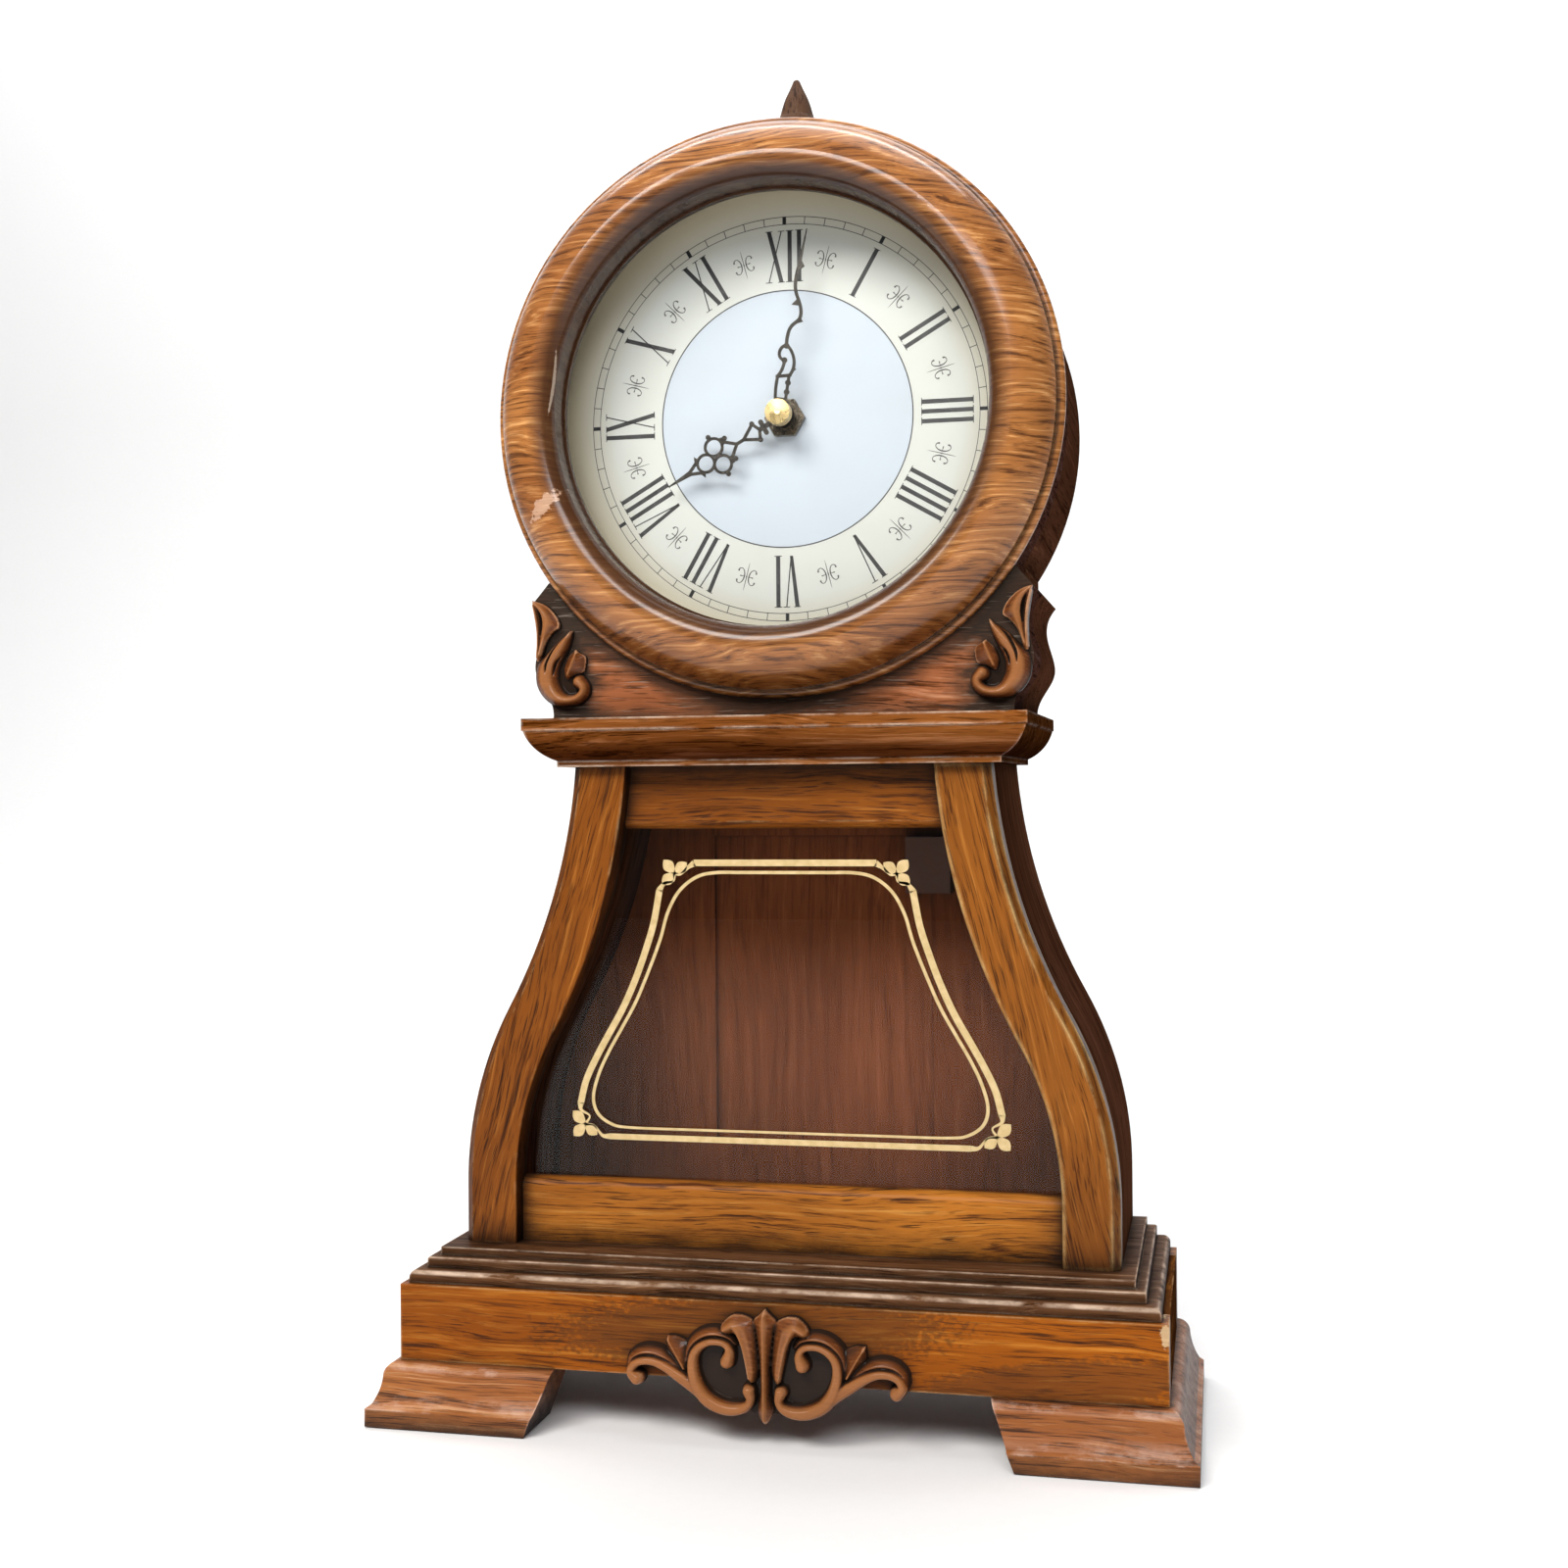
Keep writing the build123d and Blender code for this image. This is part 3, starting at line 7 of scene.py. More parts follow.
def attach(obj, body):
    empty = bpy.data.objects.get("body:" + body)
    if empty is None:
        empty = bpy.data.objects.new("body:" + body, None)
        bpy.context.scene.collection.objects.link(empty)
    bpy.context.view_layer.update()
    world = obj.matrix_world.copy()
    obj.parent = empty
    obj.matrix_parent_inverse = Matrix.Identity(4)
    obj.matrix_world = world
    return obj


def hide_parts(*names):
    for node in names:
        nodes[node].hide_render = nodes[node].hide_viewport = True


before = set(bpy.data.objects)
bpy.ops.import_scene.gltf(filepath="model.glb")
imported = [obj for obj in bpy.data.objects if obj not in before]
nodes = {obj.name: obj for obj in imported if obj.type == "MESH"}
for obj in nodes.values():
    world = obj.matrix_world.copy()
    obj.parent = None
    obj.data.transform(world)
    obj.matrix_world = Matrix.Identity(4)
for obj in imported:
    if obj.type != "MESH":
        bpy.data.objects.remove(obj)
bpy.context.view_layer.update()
mm = 0.001
headHeight = 332.8  # the arbor's height in mm
quarter = math.pi / 2
print("frame loaded:", len(nodes), "nodes")


def addNode(tree, kind, settings=None, inputs=None):
    made = tree.nodes.new(kind)
    for key, value in (settings or {}).items():
        setattr(made, key, value)
    for key, value in (inputs or {}).items():
        socket = made.inputs[key]
        if isinstance(value, bpy.types.NodeSocket):
            tree.links.new(value, socket)
        else:
            socket.default_value = value
    return made


def mathOp(tree, operation, first, second=0.0):
    return addNode(tree, "ShaderNodeMath", {"operation": operation}, {0: first, 1: second}).outputs[0]


def times(tree, first, second):
    return mathOp(tree, "MULTIPLY", first, second)


def vectorOp(tree, operation, first, second=(0, 0, 0)):
    made = addNode(tree, "ShaderNodeVectorMath", {"operation": operation}, {0: first, 1: second})
    return made.outputs["Vector" if operation == "ADD" else "Value"]


def axisOf(tree, vector, axis):
    return addNode(tree, "ShaderNodeSeparateXYZ", None, {0: vector}).outputs[axis]


def joined(tree, axes):
    return addNode(tree, "ShaderNodeCombineXYZ", None, axes).outputs[0]


def remap(tree, value, low, high, toLow=0.0, toHigh=1.0):
    inputs = {"Value": value, "From Min": low, "From Max": high, "To Min": toLow, "To Max": toHigh}
    return addNode(tree, "ShaderNodeMapRange", {"clamp": True}, inputs).outputs[0]


def mixColour(tree, factor, first, second, blend="MIX"):
    first, second = (value if isinstance(value, bpy.types.NodeSocket) else (*value, 1.0)
                     for value in (first, second))
    settings = {"data_type": "RGBA", "blend_type": blend}
    return addNode(tree, "ShaderNodeMix", settings, {0: factor, 6: first, 7: second}).outputs[2]


def tinted(tree, mask, colour, tint):
    return mixColour(tree, mask, colour, tint, "MULTIPLY")


def objectCoords(tree, output="Object"):
    return addNode(tree, "ShaderNodeTexCoord").outputs[output]


def mapping(tree, vector, shift=(0, 0, 0), turn=(0, 0, 0), scale=(1, 1, 1)):
    inputs = {"Vector": vector, "Location": shift, "Rotation": turn, "Scale": scale}
    return addNode(tree, "ShaderNodeMapping", {"vector_type": "POINT"}, inputs).outputs[0]


# noise with its own scale along x, y and z
def noiseOf(tree, vector, scale, detail=3.0, roughness=0.55):
    inputs = {"Vector": mapping(tree, vector, scale=scale), "Scale": 1.0, "Detail": detail,
              "Roughness": roughness}
    return addNode(tree, "ShaderNodeTexNoise", None, inputs).outputs[0]


# noise round zero, to make an edge or a line stray
def strayOf(tree, vector, scale, amount, detail=4.0, roughness=0.6):
    noise = noiseOf(tree, vector, scale, detail, roughness)
    return times(tree, mathOp(tree, "SUBTRACT", noise, 0.5), amount)


def attributeOf(tree, name):
    return addNode(tree, "ShaderNodeAttribute", {"attribute_name": name}).outputs["Fac"]


# distance from the arbor's axis
def radiusOf(tree, coords):
    centred = mapping(tree, coords, shift=(0, 0, -headHeight * mm))
    return vectorOp(tree, "LENGTH", mapping(tree, centred, scale=(1, 0, 1)))


def ramp(tree, factor, stops):
    made = addNode(tree, "ShaderNodeValToRGB", None, {"Fac": factor})
    band = made.color_ramp
    while len(band.elements) < len(stops):
        band.elements.new(0.5)
    for element, (place, colour) in zip(band.elements, stops):
        element.position = place
        element.color = (*colour, 1.0)
    return made.outputs[0]


def bumpOf(tree, strength, distance, height):
    inputs = {"Strength": strength, "Distance": distance, "Height": height}
    return addNode(tree, "ShaderNodeBump", None, inputs).outputs[0]


def newMaterial(name):
    material = bpy.data.materials.new(name)
    material.use_nodes = True
    material.node_tree.nodes.clear()
    return material, material.node_tree


def finishMaterial(tree, shader):
    addNode(tree, "ShaderNodeOutputMaterial", None, {"Surface": shader.outputs[0]})


def finishPrincipled(tree, inputs):
    finishMaterial(tree, addNode(tree, "ShaderNodeBsdfPrincipled", None, inputs))


def dress(material, *names):
    for name in names:
        mesh = nodes[name].data
        mesh.materials.clear()
        mesh.materials.append(material)


# a mask that is 1 inside a ragged ellipse in the x-z plane
def patchMask(tree, coords, patch):
    local = mapping(tree, coords, shift=(-patch["x"] * mm, 0, -patch["z"] * mm))
    local = mapping(tree, local, turn=(0, math.radians(patch["turn"]), 0))
    local = mapping(tree, local, scale=(1 / (patch["long"] * mm), 0, 1 / (patch["wide"] * mm)))
    edge = strayOf(tree, coords, (420, 420, 700), patch["ragged"], 4.0, 0.55)
    return remap(tree, mathOp(tree, "ADD", vectorOp(tree, "LENGTH", local), edge), 1.08, 0.86)


# grain along the local x axis: broad bands, rings, fibres and open pores
def woodGrain(tree, along, look):
    sway = strayOf(tree, along, (9, 24, 28), look["sway"], 2.0, 0.55)
    grain = vectorOp(tree, "ADD", along, joined(tree, {"Y": sway, "Z": sway}))
    tilted = mapping(tree, grain, turn=(look["tilt"], 0, 0))
    bands = addNode(tree, "ShaderNodeTexWave", {"wave_type": "BANDS", "bands_direction": "Z"}, {
        "Vector": mapping(tree, tilted, scale=(0.05, 1, 1)), "Scale": look["bands"],
        "Distortion": look["wander"],
        "Detail": 3.0, "Detail Scale": 0.7, "Detail Roughness": 0.6}).outputs[1]
    rings = noiseOf(tree, grain, (6, 130, 190), 5.0, 0.62)
    fibres = noiseOf(tree, grain, (34, 650, 1050), 4.0, 0.65)
    pores = noiseOf(tree, grain, (70, 1100, 1900), 1.5)
    shares = (look["bandShare"], 0.34, 0.48)
    tone = vectorOp(tree, "DOT_PRODUCT", joined(tree, {"X": bands, "Y": rings, "Z": fibres}), shares)
    tone = mathOp(tree, "SUBTRACT", tone, look["bandShare"] * 0.5 - 0.09)
    poreMask = times(tree, remap(tree, pores, 0.56, 0.65), remap(tree, rings, 0.62, 0.42, 0.25, 1.0))
    return tone, fibres, times(tree, poreMask, look["pores"])


# a mask of worn edges and, where a look asks for them, a painted highlight on upward slanted ledges
def wornEdgesAndLedgeSheen(tree, along, crevice, look):
    rounded = addNode(tree, "ShaderNodeBevel", {"samples": 4}, {"Radius": look["wearWidth"]}).outputs[0]
    flat = addNode(tree, "ShaderNodeNewGeometry").outputs["Normal"]
    bend = mathOp(tree, "SUBTRACT", 1.0, vectorOp(tree, "DOT_PRODUCT", rounded, flat))
    edge = remap(tree, bend, 0.004, look["wearSharp"])
    if "ledge" in look:
        # painted highlight: faces slanted upwards made lighter, where light from above catches them
        upward = axisOf(tree, objectCoords(tree, "Normal"), "Z")
        ledge = times(tree, remap(tree, upward, 0.30, 0.55), remap(tree, upward, 0.96, 0.80))
        edge = mathOp(tree, "MAXIMUM", edge, times(tree, ledge, look["ledge"]))
    edge = times(tree, edge, remap(tree, crevice, 0.50, 0.75))
    rub = noiseOf(tree, along, (60, 110, 110), 5.0, 0.7)
    return times(tree, edge, remap(tree, rub, look["wearFrom"], 0.62, 0.0, look["wear"]))


def makeWood(look):
    material, tree = newMaterial(look["name"])
    coords = objectCoords(tree)
    along = mapping(tree, coords, shift=look["shift"])
    along = mapping(tree, along, turn=look["turn"])
    along = mapping(tree, along, scale=look["flatten"])
    tone, fibres, poreMask = woodGrain(tree, along, look)
    colour = ramp(tree, tone, ((0.39, look["dark"]), (0.47, look["mid"]), (0.54, look["mid"]),
                               (0.64, look["light"])))
    cloud = noiseOf(tree, along, (8, 16, 22))
    colour = tinted(tree, remap(tree, cloud, 0.38, 0.66, 0.0, look["cloud"]), colour, look["shade"])
    colour = mixColour(tree, poreMask, colour, look["pore"])
    roughness = remap(tree, tone, 0.36, 0.66, look["rough"] + 0.07, look["rough"] - 0.05)

    # dark glaze and painted shade in corners and recesses, then bare wood on the edges and, where a look
    # asks, a painted highlight on ledges
    crevice = addNode(tree, "ShaderNodeAmbientOcclusion", {"samples": 8},
                      {"Distance": look["creviceReach"]}).outputs["AO"]
    smear = strayOf(tree, along, (45, 120, 120), 0.55, 5.0, 0.65)
    hidden = mathOp(tree, "ADD", mathOp(tree, "SUBTRACT", 1.0, crevice), smear)
    # painted shade with dark glaze: darker where ambient occlusion finds corners and recesses
    glazeAndShade = remap(tree, hidden, look["glazeAndShadeFrom"], look["glazeAndShadeTo"], 0.0, look["glazeAndShadeAmount"])
    colour = mixColour(tree, glazeAndShade, colour, look["glazeAndShadeColour"])
    roughness = mathOp(tree, "ADD", roughness, times(tree, glazeAndShade, 0.14))
    if look["wear"] > 0:
        colour = mixColour(tree, wornEdgesAndLedgeSheen(tree, along, crevice, look), colour, look["bare"])

    normal = objectCoords(tree, "Normal")
    facing = axisOf(tree, normal, "Y")
    frontal = remap(tree, facing, look["frontal"], look["frontal"] - 0.3)
    # painted shade: dark rings round the arbor's axis, on the bezel's inner lip and on the head board round
    # the bezel
    for rim in look["rims"]:
        radius = mathOp(tree, "ADD", radiusOf(tree, coords),
                        strayOf(tree, along, (60, 160, 160), rim["stray"] * mm))
        mask = remap(tree, radius, rim["from"] * mm, rim["to"] * mm, 0.0, rim["strength"])
        colour = mixColour(tree, times(tree, mask, frontal), colour, rim["colour"])
    if "flank" in look:
        # painted shade with dark glaze: the head board darker towards the shoulder carvings
        aside = mathOp(tree, "ADD", mathOp(tree, "ABSOLUTE", axisOf(tree, coords, "X")),
                       strayOf(tree, along, (70, 160, 160), 0.030))
        mask = remap(tree, aside, look["flank"][0] * mm, look["flank"][1] * mm, 0.0, 0.92)
        colour = mixColour(tree, times(tree, mask, frontal), colour, look["glazeAndShadeColour"])
    if "scratch" in look:
        mask = remap(tree, noiseOf(tree, along, (75, 60, 1500)), 0.61, 0.70, 0.0, look["scratch"])
        colour = mixColour(tree, times(tree, mask, frontal), colour, look["scratched"])
    if "carved" in look:
        # painted shade with dark glaze in the carving's hollows and low ground; worn wood and a painted
        # highlight on its crests and raised band edges
        hollow = attributeOf(tree, "cavity")
        colour = mixColour(tree, remap(tree, hollow, 0.24, 0.50, 0.0, 0.96), colour, look["glazeAndShadeColour"])
        roughness = mathOp(tree, "MAXIMUM", roughness, remap(tree, hollow, 0.24, 0.5, 0.3, 0.95))
        colour = mixColour(tree, remap(tree, hollow, 0.16, 0.0, 0.0, 0.50), colour, look["bare"])
        rub = remap(tree, noiseOf(tree, along, (160, 160, 160), 4.0, 0.65), 0.36, 0.60)
        mask = times(tree, remap(tree, attributeOf(tree, "rubbedAndSheen"), 0.13, 0.36, 0.0, 0.85), rub)
        colour = mixColour(tree, mask, colour, look["carved"])

    # tints by the way a face turns: painted shade on undersides, edge faces and side faces, and a colour of
    # their own on backs
    if "under" in look:
        mask = remap(tree, axisOf(tree, normal, "Z"), -0.30, -0.75, 0.0, 0.9)
        colour = tinted(tree, mask, colour, look["under"])
    if "rear" in look:
        colour = tinted(tree, remap(tree, facing, 0.4, 0.7), colour, look["rear"])
    if "edges" in look:
        colour = tinted(tree, remap(tree, mathOp(tree,
                                                 "ABSOLUTE", facing), 0.75, 0.45), colour, look["edges"])
    if look["ends"] > 0:
        aside = mathOp(tree, "ABSOLUTE", axisOf(tree, normal, "X"))
        mask = remap(tree, aside, look["endFrom"], look["endFrom"] + 0.3, 0.0, look["ends"])
        colour = tinted(tree, mask, colour, look["endTint"])
    for patch in look["patches"]:
        mask = times(tree, patchMask(tree, coords, patch), patch["strength"])
        colour = mixColour(tree, mask, colour, mixColour(tree, fibres, patch["dark"], patch["light"]))
        roughness = mathOp(tree, "MAXIMUM", roughness, times(tree, mask, 0.62))

    height = mathOp(tree, "SUBTRACT", times(tree, fibres, 0.4), poreMask)
    finishPrincipled(tree, {
        "Base Color": colour, "Roughness": roughness, "Normal": bumpOf(tree, 0.4, 0.00025, height),
        "Specular IOR Level": look["gloss"], "Coat Weight": look["coat"],
        "Coat Roughness": look["coatRough"]})
    return material


# plain finishes: a colour that drifts between two tones, and a little unevenness in the gloss
def makePlain(look):
    material, tree = newMaterial(look["name"])
    coords = objectCoords(tree)
    patchy = noiseOf(tree, coords, look.get("grain", (300, 300, 300)), 4.0)
    fine = noiseOf(tree, coords, (3200, 3200, 3200), 2.0)
    finishPrincipled(tree, {
        "Base Color": mixColour(tree, remap(tree, patchy, 0.3, 0.7), look["first"], look["second"]),
        "Roughness": remap(tree, patchy, 0.3, 0.7, look["rough"] - 0.06, look["rough"] + 0.06),
        "Normal": bumpOf(tree, look.get("bump", 0.15), 0.00008, mathOp(tree, "ADD", fine, patchy)),
        "Metallic": look.get("metal", 0.0), "Specular IOR Level": 0.45})
    return material


# the stained oak, changed piece by piece below
# painted shade in these defaults: side faces darker through the ends tint, corners darker as glaze and shade
oakTone = {
    "dark": (0.072, 0.019, 0.002), "mid": (0.230, 0.066, 0.006), "light": (0.410, 0.150, 0.024),
    "shade": (0.46, 0.40, 0.36), "cloud": 0.8, "pore": (0.022, 0.007, 0.002), "pores": 0.85,
    "shift": (0, 0, 0), "turn": (0, 0, 0), "flatten": (1, 1, 1), "sway": 0.014, "tilt": 0.5, "bands": 70.0,
    "bandShare": 0.08, "wander": 7.0, "rough": 0.42, "gloss": 0.09, "coat": 0.04, "coatRough": 0.22,
    "glazeAndShadeAmount": 0.95, "glazeAndShadeFrom": 0.12, "glazeAndShadeTo": 0.55, "glazeAndShadeColour": (0.014, 0.007, 0.004),
    "creviceReach": 0.014, "wear": 0.8, "wearFrom": 0.47, "wearWidth": 0.0010, "wearSharp": 0.06,
    "bare": (0.52, 0.32, 0.14), "ends": 0.9, "endFrom": 0.55, "endTint": (0.30, 0.30, 0.36), "frontal": 1.0,
    "rims": (), "patches": (),
}
columnLean = math.radians(14)
oakLooks = (
    {"name": "oak across", "nodes": ("plinth_back", "top_rail"), "shift": (0.03, 0.0, 0.004)},
    # painted shade: the shelf's end and its downward faces darker
    {"name": "oak shelf", "nodes": ("shelf",), "mid": (0.255, 0.084, 0.018), "light": (0.52, 0.22, 0.080),
     "shift": (0.21, 0.0, 0.054), "wearFrom": 0.38, "wearWidth": 0.0013, "bare": (0.78, 0.62, 0.48),
     "gloss": 0.0, "coat": 0.0, "endFrom": 0.12, "endTint": (0.17, 0.17, 0.20),
     "under": (0.30, 0.24, 0.30)},
    {"name": "oak lower rail", "nodes": ("bottom_rail",), "mid": (0.48, 0.165, 0.018),
     "light": (0.66, 0.29, 0.055), "dark": (0.120, 0.032, 0.004), "shift": (0.11, 0.02, 0.31)},
    {"name": "oak plinth", "nodes": ("plinth_front",), "mid": (0.330, 0.086, 0.003),
     "light": (0.50, 0.180, 0.020), "shift": (0.05, 0.0, 0.13), "creviceReach": 0.018, "cloud": 0.9,
     "wear": 1.0, "wearFrom": 0.40, "patches": (
         {"x": -6.0, "z": 36.0, "long": 66.0, "wide": 12.0, "turn": 4, "ragged": 1.4, "strength": 0.6,
          "dark": (0.030, 0.012, 0.004), "light": (0.120, 0.042, 0.008)},
         {"x": 90.0, "z": 24.0, "long": 46.0, "wide": 8.0, "turn": 8, "ragged": 1.4, "strength": 0.5,
          "dark": (0.045, 0.016, 0.005), "light": (0.15, 0.052, 0.011)},
         {"x": 124.0, "z": 41.5, "long": 1.6, "wide": 3.6, "turn": 10, "ragged": 2.2, "strength": 0.85,
          "dark": (0.46, 0.30, 0.15), "light": (0.66, 0.48, 0.28)})},
    # painted highlight on the mouldings' upward ledges
    {"name": "oak moulding", "nodes": ("base_lower_moulding", "base_upper_moulding"),
     "mid": (0.120, 0.052, 0.022), "light": (0.28, 0.155, 0.082), "dark": (0.034, 0.016, 0.008),
     "glazeAndShadeAmount": 0.97, "creviceReach": 0.008, "wear": 0.95, "wearFrom": 0.36, "bare": (0.62, 0.46, 0.34),
     "gloss": 0.02, "coat": 0.0, "ledge": 0.9},
    # painted highlight on the upward slopes of the feet
    {"name": "oak foot", "nodes": ("left_foot", "right_foot"), "mid": (0.36, 0.126, 0.032),
     "light": (0.58, 0.290, 0.125), "dark": (0.11, 0.036, 0.010), "shade": (0.62, 0.50, 0.44),
     "bare": (0.66, 0.46, 0.36), "gloss": 0.22, "coat": 0.0, "ledge": 0.5},
    # painted shade: the plinth's end boards a darker copy of its oak
    {"name": "oak end boards", "nodes": ("plinth_left", "plinth_right"), "turn": (0, 0, -quarter),
     "mid": (0.14, 0.050, 0.014), "gloss": 0.0, "coat": 0.0},
    {"name": "oak left column", "nodes": ("left_column",), "turn": (0, quarter - columnLean, 0),
     "shift": (0.4, 0.1, 0.03), "wear": 0.7, "bands": 110.0},
    {"name": "oak right column", "nodes": ("right_column",), "turn": (0, quarter + columnLean, 0),
     "shift": (-0.2, 0.3, 0.11), "mid": (0.260, 0.082, 0.009), "wear": 1.0, "wearFrom": 0.34,
     "wearWidth": 0.0022, "wearSharp": 0.03, "bare": (0.56, 0.37, 0.15), "bands": 110.0},
    # painted shade: the bezel's underside tinted darker and its inner lip ringed dark; its patches are a bare
    # chip and a worn lip
    {"name": "turned oak bezel", "nodes": ("bezel",), "dark": (0.130, 0.044, 0.010),
     "mid": (0.390, 0.150, 0.038), "light": (0.68, 0.345, 0.125), "shade": (0.56, 0.46, 0.40), "cloud": 0.9,
     "pores": 0.55, "shift": (0.02, 0.013, -0.09), "flatten": (1.6, 0.2, 1.6), "sway": 0.020, "tilt": 1.0,
     "bands": 120.0, "bandShare": 0.12, "wander": 6.0, "rough": 0.40, "gloss": 0.05, "coat": 0.80,
     "coatRough": 0.20, "glazeAndShadeAmount": 0.96, "creviceReach": 0.008, "wearFrom": 0.40, "ends": 0.0,
     "under": (0.48, 0.41, 0.37), "rims": (
         {"from": 80.5, "to": 74.5, "strength": 0.90, "stray": 3.0, "colour": (0.050, 0.018, 0.006)},),
     "patches": (
         {"x": -74.5, "z": 302.0, "long": 6.5, "wide": 2.4, "turn": 38, "ragged": 2.4, "strength": 0.8,
          "dark": (0.30, 0.13, 0.06), "light": (0.78, 0.54, 0.38)},
         {"x": -71.7, "z": 343.0, "long": 0.30, "wide": 11.0, "turn": -8, "ragged": 1.0, "strength": 0.6,
          "dark": (0.55, 0.40, 0.28), "light": (0.74, 0.60, 0.47)})},
)
for look in oakLooks:
    dress(makeWood({**oakTone, **look}), *look["nodes"])

# dark oak: a dark stain, and on the sides and drum hoop darker still as painted shade
darkTone = {
    **oakTone, "dark": (0.036, 0.013, 0.006), "mid": (0.080, 0.031, 0.016), "light": (0.125, 0.052, 0.027),
    "pore": (0.020, 0.009, 0.005), "glazeAndShadeAmount": 0.75, "wear": 0.3, "bare": (0.26, 0.15, 0.08), "rough": 0.62,
    "gloss": 0.0, "coat": 0.0, "ends": 0.0,
}
darkLooks = (
    {"name": "dark shaded oak sides", "nodes": ("left_side", "right_side", "glass_strips"),
     "turn": (0, quarter, 0), "flatten": (1, 1, 0.06)},
    {"name": "dark shaded oak hoop", "nodes": ("drum_hoop",), "turn": (0, 0, -quarter), "sway": 0.006},
    {"name": "dark oak finial", "nodes": ("finial",), "mid": (0.125, 0.060, 0.030),
     "light": (0.19, 0.100, 0.055), "gloss": 0.2, "turn": (0, quarter, 0), "bandShare": 0.02},
    # painted shade: the head board darker round the bezel, towards the shoulder carvings, on its edge faces
    # and in its corners
    {"name": "oak head board", "nodes": ("face_board",), "dark": (0.140, 0.044, 0.014),
     "mid": (0.41, 0.145, 0.060), "light": (0.62, 0.290, 0.150), "pores": 0.95, "flatten": (1, 0.15, 1),
     "glazeAndShadeAmount": 0.86, "glazeAndShadeColour": (0.036, 0.027, 0.021), "glazeAndShadeFrom": 0.24, "creviceReach": 0.011,
     "wear": 0.6, "bare": (0.6, 0.36, 0.2), "scratch": 0.45, "scratched": (0.33, 0.27, 0.22),
     "flank": (56.0, 67.0), "rims": (
         {"from": 102.5, "to": 97.5, "strength": 0.78, "stray": 10.0, "colour": (0.036, 0.027, 0.021)},),
     "frontal": -0.5, "edges": (0.17, 0.20, 0.34)},
    {"name": "dark oak saddle", "nodes": ("saddle_block",)},
    # painted shade: a broad dark vignette in the inner boards' corners
    {"name": "inner boards", "nodes": ("back_panel", "rear_door", "plinth_bottom"), "turn": (0, quarter, 0),
     "dark": (0.155, 0.044, 0.014), "mid": (0.225, 0.063, 0.020), "light": (0.30, 0.092, 0.032),
     "glazeAndShadeAmount": 0.7, "glazeAndShadeColour": (0.030, 0.011, 0.005), "creviceReach": 0.055, "wear": 0.0, "pores": 0.35,
     "bands": 60.0, "cloud": 0.5, "rear": (0.66, 0.96, 1.0)},
    {"name": "brown back board", "nodes": ("drum_back",), "turn": (0, quarter, 0),
     "dark": (0.085, 0.036, 0.018), "mid": (0.125, 0.054, 0.027), "light": (0.175, 0.082, 0.043),
     "glazeAndShadeAmount": 0.3, "wear": 0.4, "pores": 0.6, "bands": 60.0, "cloud": 0.6},
)
for look in darkLooks:
    dress(makeWood({**darkTone, **look}), *look["nodes"])
print("wood ready")

plainLooks = (
    {"name": "zinc plated steel", "nodes": ("dial_screws", "back_screws", "centre_arbor"),
     "first": (0.52, 0.52, 0.50), "second": (0.62, 0.61, 0.58), "rough": 0.34, "metal": 1.0},
    {"name": "dark bronze", "nodes": ("minute_hand", "hour_hand"), "first": (0.020, 0.017, 0.014),
     "second": (0.038, 0.032, 0.025), "rough": 0.42, "metal": 0.55, "grain": (700, 700, 700), "bump": 0.3},
    {"name": "black plastic", "nodes": ("module_front_case", "module_rear_case", "setting_knob",
                                        "chime_switch", "battery_tray", "motor_unit", "speaker_frame"),
     "first": (0.018, 0.018, 0.019), "second": (0.028, 0.028, 0.029), "rough": 0.46, "bump": 0.3},
    {"name": "gear plastic", "nodes": ("centre_wheel", "hour_wheel", "motion_wheel", "motor_pinion",
                                       "train_plate"),
     "first": (0.72, 0.70, 0.63), "second": (0.80, 0.78, 0.72), "rough": 0.42},
    {"name": "circuit board", "nodes": ("circuit_board",), "first": (0.020, 0.110, 0.040),
     "second": (0.030, 0.160, 0.060), "rough": 0.36, "grain": (180, 180, 180)},
    {"name": "cell sleeve", "nodes": ("battery_cells",), "first": (0.10, 0.10, 0.11),
     "second": (0.16, 0.15, 0.15), "rough": 0.36, "grain": (60, 60, 60), "bump": 0.0},
    {"name": "cone paper", "nodes": ("speaker_cone",), "first": (0.040, 0.038, 0.035),
     "second": (0.065, 0.060, 0.055), "rough": 0.85, "bump": 0.6},
    {"name": "glass ring", "nodes": ("glass_ring",), "first": (0.030, 0.024, 0.018),
     "second": (0.050, 0.040, 0.030), "rough": 0.5},
    {"name": "browned steel", "nodes": ("door_strike",), "first": (0.10, 0.050, 0.030),
     "second": (0.14, 0.068, 0.040), "rough": 0.5, "metal": 0.8},
    # painted shade: the door catch as dark as the inner boards in shade
    {"name": "shaded brown plastic", "nodes": ("door_catch",), "first": (0.075, 0.024, 0.010),
     "second": (0.095, 0.030, 0.013), "rough": 0.6},
    {"name": "sheet brass", "nodes": ("hinge_fixed_leaves", "hinge_door_leaves", "door_pull"),
     "first": (0.50, 0.33, 0.13), "second": (0.60, 0.42, 0.18), "rough": 0.38, "metal": 1.0,
     "grain": (120, 120, 900), "bump": 0.25},
)
for look in plainLooks:
    dress(makePlain(look), *look["nodes"])

